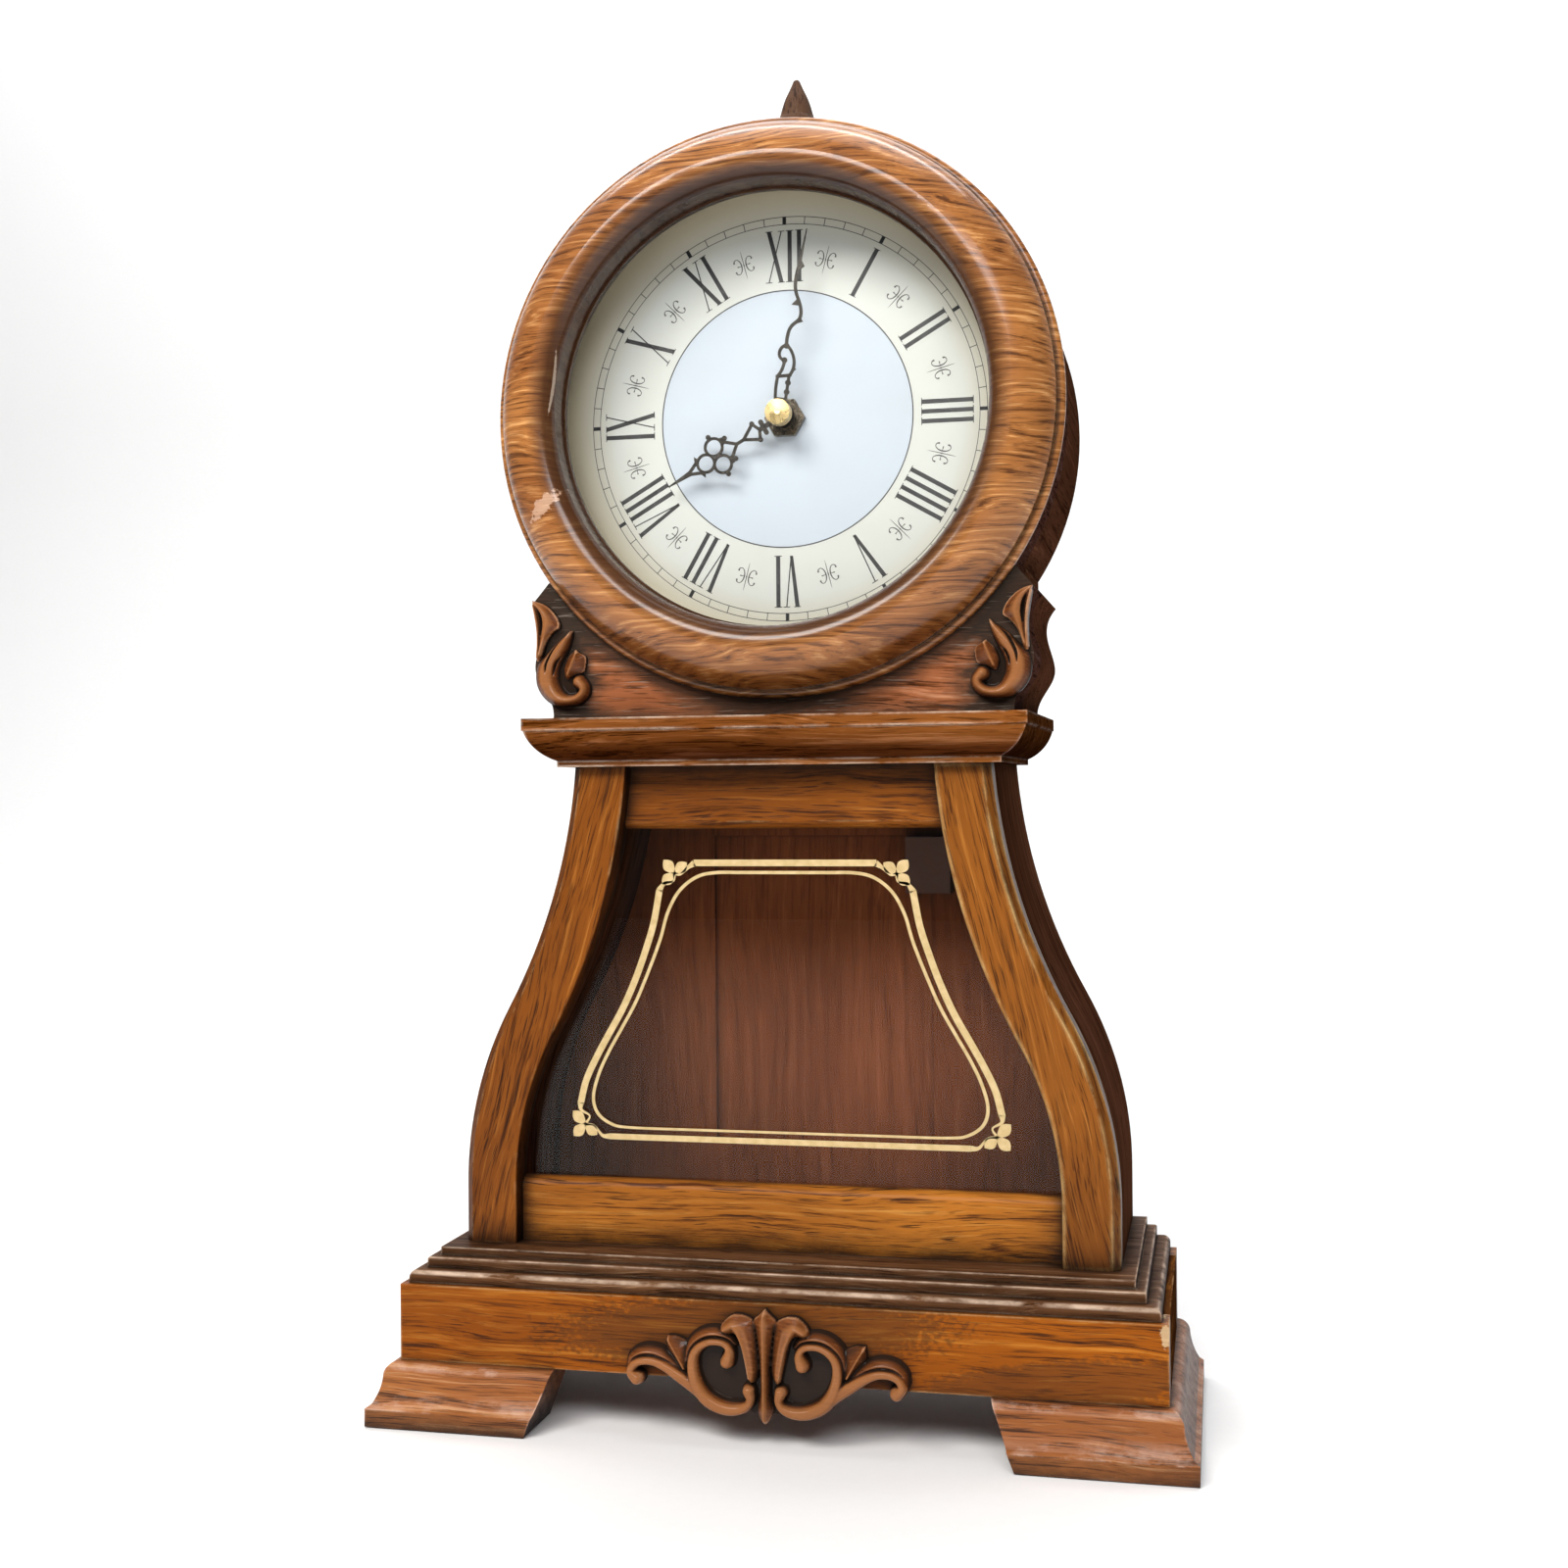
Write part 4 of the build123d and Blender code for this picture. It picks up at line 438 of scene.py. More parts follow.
# brass, with the fine turning marks of a lathe round the arbor
brassLooks = (
    {"name": "turned brass", "nodes": ("hand_nut",), "base": (0.80, 0.58, 0.25), "worn": (0.84, 0.65, 0.33),
     "pitch": 130.0},
    {"name": "dull brass", "nodes": ("mounting_bush", "fixing_nut"), "base": (0.16, 0.135, 0.105),
     "worn": (0.24, 0.20, 0.15), "pitch": 130.0},
)
for look in brassLooks:
    material, tree = newMaterial(look["name"])
    centred = mapping(tree, objectCoords(tree), shift=(0, 0, -headHeight * mm))
    marks = addNode(tree, "ShaderNodeTexWave", {"wave_type": "RINGS", "rings_direction": "Y"}, {
        "Vector": centred, "Scale": look["pitch"], "Distortion": 0.4, "Detail": 2.0,
        "Detail Scale": 2.0}).outputs[1]
    patchy = noiseOf(tree, centred, (500, 500, 500))
    finishPrincipled(tree, {
        "Base Color": mixColour(tree, patchy, look["base"], look["worn"]), "Metallic": 1.0,
        "Roughness": remap(tree, patchy, 0.3, 0.7, 0.24, 0.32),
        "Normal": bumpOf(tree, 0.10, 0.00003, marks)})
    dress(material, *look["nodes"])

# clear glass: light passes straight through, so that what is behind is lit
glassLook = {"name": "clear glass", "tint": (0.97, 0.98, 0.97, 1), "index": 1.2, "smudge": 0.015}
material, tree = newMaterial(glassLook["name"])
smudge = noiseOf(tree, objectCoords(tree), (34, 34, 52), 5.0, 0.6)
glass = addNode(tree, "ShaderNodeBsdfPrincipled", None, {
    "Base Color": glassLook["tint"], "Transmission Weight": 1.0, "IOR": glassLook["index"],
    "Roughness": remap(tree, smudge, 0.55, 0.80, 0.0, glassLook["smudge"])})
clear = addNode(tree, "ShaderNodeBsdfTransparent", None, {"Color": (0.96, 0.96, 0.96, 1)})
path = addNode(tree, "ShaderNodeLightPath").outputs
through = mathOp(tree, "MAXIMUM", path["Is Shadow Ray"], path["Is Diffuse Ray"])
finishMaterial(tree, addNode(tree, "ShaderNodeMixShader", None,
                             {0: through, 1: glass.outputs[0], 2: clear.outputs[0]}))
dress(material, "window_glass", "dial_glass")

# printed dial plate: cool white middle inside the inner circle, cream chapter ring
dialLook = {"name": "dial plate", "middle": (0.58, 0.645, 0.715), "ring": (0.68, 0.70, 0.655),
            "edge": (0.62, 0.545, 0.375), "aged": (0.93, 0.90, 0.84), "middleRadius": 43.2}
material, tree = newMaterial(dialLook["name"])
coords = objectCoords(tree)
radius = radiusOf(tree, coords)
mottle = noiseOf(tree, coords, (55, 55, 55), 4.0)
grit = noiseOf(tree, coords, (2600, 2600, 2600), 2.0)
inside = remap(tree, radius, (dialLook["middleRadius"] + 0.05) * mm, (dialLook["middleRadius"] - 0.05) * mm)
colour = mixColour(tree, remap(tree, radius, 0.060, 0.076), dialLook["ring"], dialLook["edge"])
colour = mixColour(tree, inside, colour, dialLook["middle"])
finishPrincipled(tree, {
    "Base Color": tinted(tree, remap(tree, mottle, 0.45, 0.75, 0.0, 0.25), colour, dialLook["aged"]),
    "Roughness": remap(tree, mottle, 0.3, 0.7, 0.46, 0.58), "Specular IOR Level": 0.35,
    "Normal": bumpOf(tree, 0.08, 0.00005, grit)})
dress(material, "dial")
printInk = makePlain({"name": "print ink", "first": (0.016, 0.016, 0.017), "second": (0.030, 0.029, 0.029),
                      "rough": 0.5, "grain": (900, 900, 900), "bump": 0.05})
motifInk = makePlain({"name": "motif ink", "first": (0.055, 0.052, 0.048), "second": (0.085, 0.080, 0.072),
                      "rough": 0.5, "grain": (900, 900, 900), "bump": 0.05})
goldPaint = makePlain({"name": "gold paint", "first": (0.60, 0.43, 0.19), "second": (0.74, 0.56, 0.29),
                       "rough": 0.42, "metal": 0.35, "grain": (420, 420, 420), "bump": 0.25})
print("finishes ready")


# a smooth line through the points, whatever each row holds
def smoothPath(points, steps=8):
    rows = np.asarray(points, float)
    padded = np.vstack((2 * rows[0] - rows[1], rows, 2 * rows[-1] - rows[-2]))
    found = []
    for index in range(1, len(padded) - 2):
        before, start, end, after = padded[index - 1:index + 3]
        for t in np.linspace(0, 1, steps, endpoint=False):
            found.append(0.5 * (2 * start + (end - before) * t
                                + (2 * before - 5 * start + 4 * end - after) * t ** 2
                                + (3 * start - before - 3 * end + after) * t ** 3))
    found.append(rows[-1])
    return np.array(found)


# a flat ribbon of quads along a path of x, z and half width
def ribbon(points, steps=8):
    rows = smoothPath(points, steps)
    heading = np.gradient(rows[:, :2], axis=0)
    heading /= np.linalg.norm(heading, axis=1)[:, None] + 1e-12
    across = np.stack((-heading[:, 1], heading[:, 0]), axis=1) * np.maximum(rows[:, 2:3], 0.004)
    left = rows[:, :2] + across
    right = rows[:, :2] - across
    return [[right[i], right[i + 1], left[i + 1], left[i]] for i in range(len(rows) - 1)]


def bar(start, end, width):
    return ribbon([(*start, width / 2), (*end, width / 2)], 1)


def annulus(inner, outer, count=180):
    turns = [2 * math.pi * index / count for index in range(count + 1)]
    spots = [(math.sin(turn), math.cos(turn)) for turn in turns]
    return [[(a * inner, b * inner), (c * inner, d * inner), (c * outer, d * outer), (a * outer, b * outer)]
            for (a, b), (c, d) in zip(spots[:-1], spots[1:])]


def newPiece(name, points, faces, material):
    mesh = bpy.data.meshes.new(name)
    mesh.from_pydata(points, [], faces)
    mesh.materials.append(material)
    made = bpy.data.objects.new(name, mesh)
    bpy.context.scene.collection.objects.link(made)
    return made


# puts flat shapes, given in mm as x and z, on the plane y, facing the front
def flatPiece(name, shapes, y, material, lift=0.0):
    points = []
    faces = []
    for shape in shapes:
        ring = [(float(x), float(z)) for x, z in shape]
        area = sum(ring[i - 1][0] * ring[i][1] - ring[i][0] * ring[i - 1][1] for i in range(len(ring)))
        if area < 0:
            ring.reverse()
        faces.append(list(range(len(points), len(points) + len(ring))))
        points.extend((x * mm, y * mm, (z + lift) * mm) for x, z in ring)
    return newPiece(name, points, faces, material)


# repeats a piece round the arbor's axis with Geometry Nodes
def buildRoundGroup():
    group = bpy.data.node_groups.new("repeat round", "GeometryNodeTree")
    sockets = (("Piece", "Geometry"), ("Count", "Int"), ("First turn", "Float"), ("Centre", "Vector"),
               ("Finish", "Material"))
    for name, kind in sockets:
        group.interface.new_socket(name, in_out="INPUT", socket_type="NodeSocket" + kind)
    group.interface.new_socket("Result", in_out="OUTPUT", socket_type="NodeSocketGeometry")
    given = addNode(group, "NodeGroupInput").outputs
    spots = addNode(group, "GeometryNodePoints", None, {"Count": given["Count"], "Position": given["Centre"]})
    step = mathOp(group, "DIVIDE", 2 * math.pi, given["Count"])
    order = addNode(group, "GeometryNodeInputIndex").outputs[0]
    turn = mathOp(group, "ADD", times(group, order, step), given["First turn"])
    placed = addNode(group, "GeometryNodeInstanceOnPoints", None, {
        "Points": spots.outputs[0], "Instance": given["Piece"], "Rotation": joined(group, {"Y": turn})})
    real = addNode(group, "GeometryNodeRealizeInstances", None, {"Geometry": placed.outputs[0]})
    coated = addNode(group, "GeometryNodeSetMaterial", None, {
        "Geometry": real.outputs[0], "Material": given["Finish"]})
    addNode(group, "NodeGroupOutput", None, {0: coated.outputs[0]})
    return group


roundGroup = buildRoundGroup()


def repeatRound(piece, count, finish, firstTurn=0.0):
    settings = {"Count": count, "First turn": firstTurn, "Centre": (0, 0, headHeight * mm), "Finish": finish}
    modifier = piece.modifiers.new("round", "NODES")
    modifier.node_group = roundGroup
    for item in roundGroup.interface.items_tree:
        if item.in_out == "INPUT" and item.name in settings:
            modifier[item.identifier] = settings[item.name]
    bpy.context.view_layer.update()
    graph = bpy.context.evaluated_depsgraph_get()
    solid = bpy.data.meshes.new_from_object(piece.evaluated_get(graph))
    piece.modifiers.remove(modifier)
    piece.data = solid


def shown(piece, slot, *stands):
    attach(piece, "case")
    if stands:
        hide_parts(*stands)


dialFront = -7.24  # y of the print, just before the dial plate

# minute track
trackLook = {"inner": 65.7, "outer": 68.0, "line": 0.22, "tick": 0.26, "block": 1.25, "circle": 43.3,
             "circleLine": 0.4}
inner, outer, line = trackLook["inner"], trackLook["outer"], trackLook["line"]
circleHalf = trackLook["circleLine"] / 2
rings = annulus(inner - line, inner) + annulus(outer, outer + line)
rings += annulus(trackLook["circle"] - circleHalf, trackLook["circle"] + circleHalf)
shown(flatPiece("dial_circles", rings, dialFront, printInk, headHeight), "dial_white")
for name, width, count in (("minute_ticks", trackLook["tick"], 60),
                           ("five_minute_blocks", trackLook["block"], 12)):
    marks = flatPiece(name, bar((0, inner), (0, outer), width), dialFront, printInk)
    repeatRound(marks, count, printInk)
    shown(marks, "dial_white")

# half hour motifs: a thin spear between two barred curls
motifLook = {
    "spear": [(0, 49.8, 0.05), (0, 52.0, 0.12), (0, 54.0, 0.14), (0, 54.6, 0.24), (0, 55.2, 0.14),
              (0, 57.2, 0.12), (0, 59.4, 0.05)],
    "curl": [(3.15, 56.0, 0.32), (2.90, 56.9, 0.17), (1.95, 57.15, 0.13), (1.10, 56.2, 0.18),
             (0.80, 54.6, 0.22), (1.10, 53.0, 0.18), (1.95, 52.05, 0.13), (2.90, 52.3, 0.17),
             (3.15, 53.2, 0.32)],
    "crossbar": [(0.8, 54.6, 0.10), (1.5, 54.6, 0.12), (2.3, 54.65, 0.24)],
}
curls = ribbon(motifLook["spear"])
for part in ("curl", "crossbar"):
    curls += ribbon(motifLook[part])
    curls += ribbon([(-x, z, width) for x, z, width in motifLook[part]])
motifs = flatPiece("half_hour_motifs", curls, dialFront, motifInk)
repeatRound(motifs, 12, motifInk, math.pi / 12)
shown(motifs, "dial_white")

# hour numerals, feet towards the centre
numeralLook = {"low": 46.2, "high": 63.4, "thick": 1.45, "thin": 0.42, "serif": 0.28, "inset": 1.25,
               "widths": {"I": 3.25, "V": 6.2, "X": 6.8}, "serifHalf": {"I": 1.30, "V": 1.15, "X": 1.15}}
numerals = ("XII", "I", "II", "III", "IIII", "V", "VI", "VII", "VIII", "IX", "X", "XI")


def numeralShapes(word, look):
    low, high, thick, thin = (look[key] for key in ("low", "high", "thick", "thin"))
    place = -sum(look["widths"][letter] for letter in word) / 2
    shapes = []

    def slab(lowX, highX, lowWide, highWide):
        shapes.append([(lowX - lowWide / 2, low), (lowX + lowWide / 2, low),
                       (highX + highWide / 2, high), (highX - highWide / 2, high)])

    for letter in word:
        width = look["widths"][letter]
        mid = place + width / 2
        left, right = mid - width / 2 + look["inset"], mid + width / 2 - look["inset"]
        if letter == "I":
            slab(mid, mid, thick, thick)
            ends = ((mid, low), (mid, high))
        elif letter == "V":
            slab(mid + thick * 0.075, left, thick * 0.75, thick)
            slab(mid + thick * 0.30 - thin / 2, right, thin, thin)
            ends = ((left, high), (right, high))
        else:
            slab(right, left, thick, thick)
            slab(left, right, thin, thin)
            ends = ((left, low), (right, low), (left, high), (right, high))
        half, rise = look["serifHalf"][letter], look["serif"] / 2
        for x, z in ends:
            shapes.append([(x - half, z - rise), (x + half, z - rise), (x + half, z + rise),
                           (x - half, z + rise)])
        place += width
    return shapes


allNumerals = []
for hour, word in enumerate(numerals):
    sine, cosine = math.sin(hour * math.pi / 6), math.cos(hour * math.pi / 6)
    for shape in numeralShapes(word, numeralLook):
        allNumerals.append([(x * cosine + z * sine, z * cosine - x * sine) for x, z in shape])
shown(flatPiece("hour_numerals", allNumerals, dialFront, printInk, headHeight), "dial_white")
print("dial printed")

# gold stencil on the window glass: broad and fine lines, a trefoil in each corner
stencilLook = {
    "y": -16.04, "topBar": (31.2, 183.5, 2.2), "lowBar": (61.6, 90.7, 2.0),
    "petal": ((0.0, 0.35), (0.26, 1.35), (0.55, 2.0), (0.80, 1.35), (1.0, 0.02)),
    "side": [(43.2, 174.4, 1.15), (45.4, 163.0, 1.15), (48.6, 153.0, 1.15), (52.2, 143.5, 1.15),
             (56.6, 134.0, 1.15), (61.4, 125.6, 1.15), (66.0, 117.4, 1.15), (69.7, 109.6, 1.15),
             (71.8, 101.6, 1.15)],
    "sideFine": [(0, 180.3, 0.55), (14, 180.3, 0.55), (24, 180.2, 0.55), (30.5, 178.6, 0.55),
                 (36.4, 173.9, 0.55), (40.4, 166.7, 0.55), (43.0, 158.0, 0.55), (46.6, 148.6, 0.55),
                 (51.8, 136.6, 0.55), (57.2, 127.0, 0.55), (61.6, 119.4, 0.55), (65.2, 111.8, 0.55),
                 (67.2, 104.2, 0.55), (65.8, 98.6, 0.55), (61.0, 95.0, 0.5), (54.0, 93.9, 0.45),
                 (30.0, 93.8, 0.42), (0, 93.8, 0.42)],
    "corners": (
        {"x": 37.9, "z": 180.0, "petals": ((50, 5.9), (140, 5.7), (-40, 5.7)),
         "stems": ([(31.0, 183.4, 1.1), (33.2, 181.9, 0.6), (35.9, 179.6, 0.35), (37.9, 180.0, 0.5)],
                   [(43.3, 174.2, 1.1), (41.4, 176.6, 0.55), (38.3, 177.4, 0.3), (37.9, 180.0, 0.5)])},
        {"x": 70.2, "z": 94.6, "petals": ((45, 6.2), (-45, 5.9), (-140, 5.5)),
         "stems": ([(71.8, 101.8, 1.1), (71.6, 99.4, 0.55), (68.6, 97.4, 0.3), (70.2, 94.6, 0.5)],
                   [(61.4, 90.7, 1.0), (64.2, 91.0, 0.55), (67.0, 94.2, 0.3), (70.2, 94.6, 0.5)])},
    ),
}


def petal(x, z, angle, length):
    turn = math.radians(angle)
    return ribbon([(x + math.cos(turn) * length * step, z + math.sin(turn) * length * step, half)
                   for step, half in stencilLook["petal"]], 5)


lines = ribbon(stencilLook["side"]) + ribbon(stencilLook["sideFine"])
for reach, z, width in (stencilLook["topBar"], stencilLook["lowBar"]):
    lines += bar((0, z), (reach, z), width)
for corner in stencilLook["corners"]:
    for angle, length in corner["petals"]:
        lines += petal(corner["x"], corner["z"], angle, length)
    for stem in corner["stems"]:
        lines += ribbon(stem)
bothSides = lines + [[(-x, z) for x, z in shape] for shape in lines]
shown(flatPiece("window_stencil", bothSides, stencilLook["y"], goldPaint), "brass")
print("stencil painted")


# carved relief: strokes of x, z, half width and height, and leaves that fall from a crease to their outline
def toSegment(gridX, gridZ, start, end):
    step = end[:2] - start[:2]
    t = ((gridX - start[0]) * step[0] + (gridZ - start[1]) * step[1]) / (step @ step + 1e-9)
    t = np.clip(t, 0, 1)
    return t, np.hypot(gridX - start[0] - t * step[0], gridZ - start[1] - t * step[1])


def nearestOf(gridX, gridZ, rows):
    nearest = np.full_like(gridX, 99.0)
    for start, end in zip(rows[:-1], rows[1:]):
        nearest = np.minimum(nearest, toSegment(gridX, gridZ, start, end)[1])
    return nearest


def leafField(gridX, gridZ, leaf):
    edge = smoothPath(leaf["outline"] + leaf["outline"][:1], 5)
    within = np.zeros(gridX.shape, bool)
    for (x0, z0), (x1, z1) in zip(edge[:-1], edge[1:]):
        crosses = (z0 > gridZ) != (z1 > gridZ)
        within ^= crosses & (gridX < x0 + (gridZ - z0) * (x1 - x0) / (z1 - z0 + 1e-9))
    toEdge = nearestOf(gridX, gridZ, edge)
    toCrease = nearestOf(gridX, gridZ, smoothPath(leaf["crease"], 5))
    share = toCrease / (toCrease + toEdge + 1e-6)
    return leaf["crest"] - leaf["fall"] * share ** leaf.get("power", 1.0), np.where(within, toEdge, -toEdge)


def strokeField(gridX, gridZ, stroke):
    rows = smoothPath(stroke["path"], 6)
    nearest = np.full_like(gridX, 9.0)
    width = np.ones_like(gridX)
    crest = np.zeros_like(gridX)
    for start, end in zip(rows[:-1], rows[1:]):
        t, apart = toSegment(gridX, gridZ, start, end)
        local = np.maximum(start[2] + t * (end[2] - start[2]), 0.05)
        closer = apart / local < nearest
        nearest = np.where(closer, apart / local, nearest)
        width = np.where(closer, local, width)
        crest = np.where(closer, start[3] + t * (end[3] - start[3]), crest)
    return nearest, width, crest


def reliefField(gridX, gridZ, strokes):
    height = np.zeros_like(gridX)
    inside = np.full_like(gridX, -9.0)
    for stroke in strokes:
        if "outline" in stroke:
            rise, deep = leafField(gridX, gridZ, stroke)
            height = np.where(deep > 0, np.maximum(height, rise), height)
            inside = np.maximum(inside, deep)
            continue
        nearest, width, crest = strokeField(gridX, gridZ, stroke)
        reach = np.clip(nearest, 0, 1)
        if stroke.get("cut"):
            height = np.where(nearest < 1, height - crest * (1 - reach ** 2), height)
            continue
        floor = stroke.get("floor", 0.3)
        rise = crest * (floor + (1 - floor) * (1 - reach ** stroke.get("crown", 4.0)))
        height = np.where(nearest < 1, np.maximum(height, rise), height)
        inside = np.maximum(inside, (1 - nearest) * width)
    return np.maximum(height, 0.3), inside


def blurred(field, reach):
    kernel = np.hanning(2 * reach + 3)[1:-1]
    kernel /= kernel.sum()

    def soften(row):
        return np.convolve(np.pad(row, reach, "edge"), kernel, "valid")

    return np.apply_along_axis(soften, 1, np.apply_along_axis(soften, 0, field))


# a closed mesh from the height field, its rim drawn in to the outline
def reliefPiece(name, look, material):
    step = look["step"]
    xs = np.arange(look["left"], look["right"] + step, step)
    zs = np.arange(look["low"], look["high"] + step, step)
    gridX, gridZ = np.meshgrid(xs, zs)
    height, inside = reliefField(gridX, gridZ, look["strokes"])
    # the cavity mask, high in hollows and on low ground, darkens as glaze and painted shade; the mask after
    # it, high on raised band edges, lightens as wear and painted highlight
    sunk = blurred(np.where(inside > 0, height, 0), int(1.4 / step)) - height
    rubbedAndSheen = np.clip(-sunk / look["depth"] * 1.6, 0, 1)
    cavity = np.clip(0.26 + sunk * 0.28 + (0.62 - height / look["depth"]) * 0.85, 0, 1)
    softened = blurred(np.where(inside > -step * 1.5, height, 0.0), 1)
    height = np.where(inside > step, softened, height)
    slopeZ, slopeX = np.gradient(inside, step)
    steep = np.maximum(slopeX ** 2 + slopeZ ** 2, 0.2)
    pull = np.clip(np.where(inside < 0, -inside / steep, 0), -1.2 * step, 1.2 * step)
    placeX = np.clip(gridX + pull * slopeX, look["left"], look["right"])
    placeZ = np.clip(gridZ + pull * slopeZ, look["low"], look["high"])
    live = inside > 0
    cells = live[:-1, :-1] | live[1:, :-1] | live[:-1, 1:] | live[1:, 1:]
    used = np.zeros_like(live)
    for rowShift in (0, 1):
        for columnShift in (0, 1):
            used[rowShift:rowShift + cells.shape[0], columnShift:columnShift + cells.shape[1]] |= cells
    count = int(used.sum())
    index = np.full(live.shape, -1)
    index[used] = np.arange(count)
    y = look["back"] - np.minimum(height, look["depth"])
    front = np.stack((placeX[used], y[used], placeZ[used]), axis=1)
    back = front.copy()
    back[:, 1] = look["back"]
    rows, columns = np.nonzero(cells)
    a = index[rows, columns]
    b = index[rows, columns + 1]
    c = index[rows + 1, columns + 1]
    d = index[rows + 1, columns]
    faces = np.stack((a, b, c, d), axis=1)
    rims = []
    padded = np.pad(cells, 1)
    for first, second, shiftRow, shiftColumn in ((a, b, -1, 0), (b, c, 0, 1), (c, d, 1, 0), (d, a, 0, -1)):
        bare = ~padded[rows + 1 + shiftRow, columns + 1 + shiftColumn]
        first, second = first[bare], second[bare]
        rims.append(np.stack((second, first, first + count, second + count), axis=1))
    everything = np.vstack((faces, faces[:, ::-1] + count, *rims))
    made = newPiece(name, (np.vstack((front, back)) * mm).tolist(), everything.tolist(), material)
    mesh = made.data
    for field, values, behind in (("cavity", cavity, 1.0), ("rubbedAndSheen", rubbedAndSheen, 0.0)):
        column = np.concatenate((values[used], np.full(count, behind))).astype(np.float32)
        mesh.attributes.new(field, "FLOAT", "POINT").data.foreach_set("value", column)
    mesh.shade_smooth()
    mesh.set_sharp_from_angle(angle=math.radians(50))
    return made


def mirrored(strokes):
    flipped = []
    for stroke in strokes:
        turned = dict(stroke)
        for key in ("path", "outline", "crease"):
            if key in stroke:
                turned[key] = [(-row[0], *row[1:]) for row in stroke[key]]
        flipped.append(turned)
    return flipped


# carved oak: hollows darker as glaze and painted shade, crests and band edges lighter as wear and painted
# highlight
carvedOak = makeWood({
    **oakTone, "name": "carved oak", "mid": (0.165, 0.050, 0.013), "light": (0.27, 0.090, 0.026),
    "dark": (0.090, 0.026, 0.007), "bare": (0.44, 0.180, 0.060), "carved": (0.58, 0.31, 0.17),
    "glazeAndShadeAmount": 0.9, "glazeAndShadeColour": (0.014, 0.008, 0.005), "creviceReach": 0.0035, "wear": 0.0, "pores": 0.2,
    "cloud": 0.6, "bands": 260.0, "rough": 0.40, "gloss": 0.10, "coat": 0.30, "coatRough": 0.12, "ends": 0.0})

# plinth carving: spear, fan leaves, C scrolls with balls, short leaves and long arms with rolled ends
baseLook = {
    "left": -46.6, "right": 46.6, "low": 7.6, "high": 44.0, "step": 0.22, "back": -45.5, "depth": 6.45,
    "centre": [
        {"outline": [
            (0, 43.9), (2.0, 42.0), (3.7, 40.0), (2.9, 36.7), (2.0, 29.0), (1.6, 21.0), (1.8, 16.8),
            (2.5, 11.8), (0, 7.7), (-2.5, 11.8), (-1.8, 16.8), (-1.6, 21.0), (-2.0, 29.0),
            (-2.9, 36.7), (-3.7, 40.0), (-2.0, 42.0)],
         "crease": [(0, 42.6), (0, 30.0), (0, 9.4)], "crest": 6.4, "fall": 3.4},
    ],
    "half": [
        {"floor": 1.0, "path": [(3.4, 13.5, 3.0, 0.9), (4.6, 22, 4.2, 0.9), (7.2, 33, 4.8, 0.9)]},
        {"floor": 1.0, "path": [(9.5, 16.0, 4.5, 0.9), (14.5, 19.5, 7.0, 0.9), (17.0, 26.0, 6.5, 0.9)]},
        {"outline": [
            (14.9, 36.0), (14.1, 38.4), (12.6, 40.2), (10.6, 41.6), (8.2, 41.9), (5.6, 41.2),
            (3.5, 39.8), (3.0, 36.5), (2.2, 30.0), (2.0, 24.0), (3.6, 20.6), (5.0, 21.0), (5.8, 24.2),
            (6.9, 28.8), (8.2, 33.4), (9.8, 35.6), (12.4, 35.4)],
         "crease": [(12.8, 37.4), (9.9, 38.6), (7.9, 35.2), (6.3, 30.4), (4.9, 22.4)], "crest": 6.3,
         "fall": 3.4, "power": 1.3},
        {"outline": [
            (32.2, 33.8), (29.6, 33.9), (27.0, 33.0), (24.8, 31.4), (24.6, 27.0), (25.2, 22.6),
            (27.6, 23.2), (30.4, 26.8), (32.4, 29.6)],
         "crease": [(31.7, 33.0), (29.4, 29.4), (26.4, 24.0)], "crest": 5.0, "fall": 3.2},
        {"crown": 1.5, "floor": 0.1, "path": [
            (9.8, 32.4, 1.2, 3.2), (12.0, 34.6, 1.8, 4.2), (15.8, 35.6, 2.3, 4.8),
            (19.6, 35.0, 2.4, 4.8), (22.8, 32.9, 2.4, 4.6), (25.0, 29.8, 2.0, 4.2),
            (25.8, 26.0, 1.4, 3.6)]},
        {"crown": 1.5, "floor": 0.1, "path": [
            (28.0, 24.0, 1.6, 3.4), (32.2, 26.9, 2.3, 4.4), (36.4, 28.4, 2.5, 4.6),
            (40.6, 28.2, 2.4, 4.6), (43.8, 26.2, 2.0, 4.4), (45.0, 23.0, 1.4, 3.8)]},
        {"floor": 0.22, "path": [
            (18.0, 13.9, 2.4, 5.4), (21.9, 17.4, 2.5, 5.6), (25.4, 19.9, 2.5, 5.7),
            (28.8, 22.1, 2.3, 5.8), (32.4, 24.3, 2.0, 5.8), (36.4, 25.8, 1.8, 5.8),
            (40.4, 25.7, 1.7, 5.8), (43.0, 24.3, 1.7, 5.9), (43.9, 22.0, 1.9, 6.0),
            (42.1, 20.0, 2.5, 6.2)]},
        {"floor": 0.22, "path": [
            (12.2, 27.0, 2.5, 6.4), (11.4, 29.4, 2.0, 6.2), (11.6, 31.4, 1.5, 5.9),
            (13.2, 32.8, 1.4, 5.8), (15.8, 33.2, 1.4, 5.8), (18.4, 32.8, 1.5, 5.8),
            (21.2, 31.2, 1.7, 5.9), (23.0, 28.6, 1.9, 5.9), (23.5, 25.2, 2.1, 6.0),
            (23.0, 21.6, 2.3, 6.0), (21.6, 18.0, 2.5, 6.0), (19.2, 15.0, 2.6, 6.0),
            (16.2, 13.1, 2.6, 5.9), (13.0, 12.1, 2.5, 5.9), (9.8, 12.0, 2.3, 5.9),
            (7.0, 12.7, 2.0, 5.9), (5.2, 14.1, 1.7, 5.9), (4.6, 16.0, 1.8, 6.0),
            (5.2, 18.2, 2.3, 6.3)]},
    ],
}
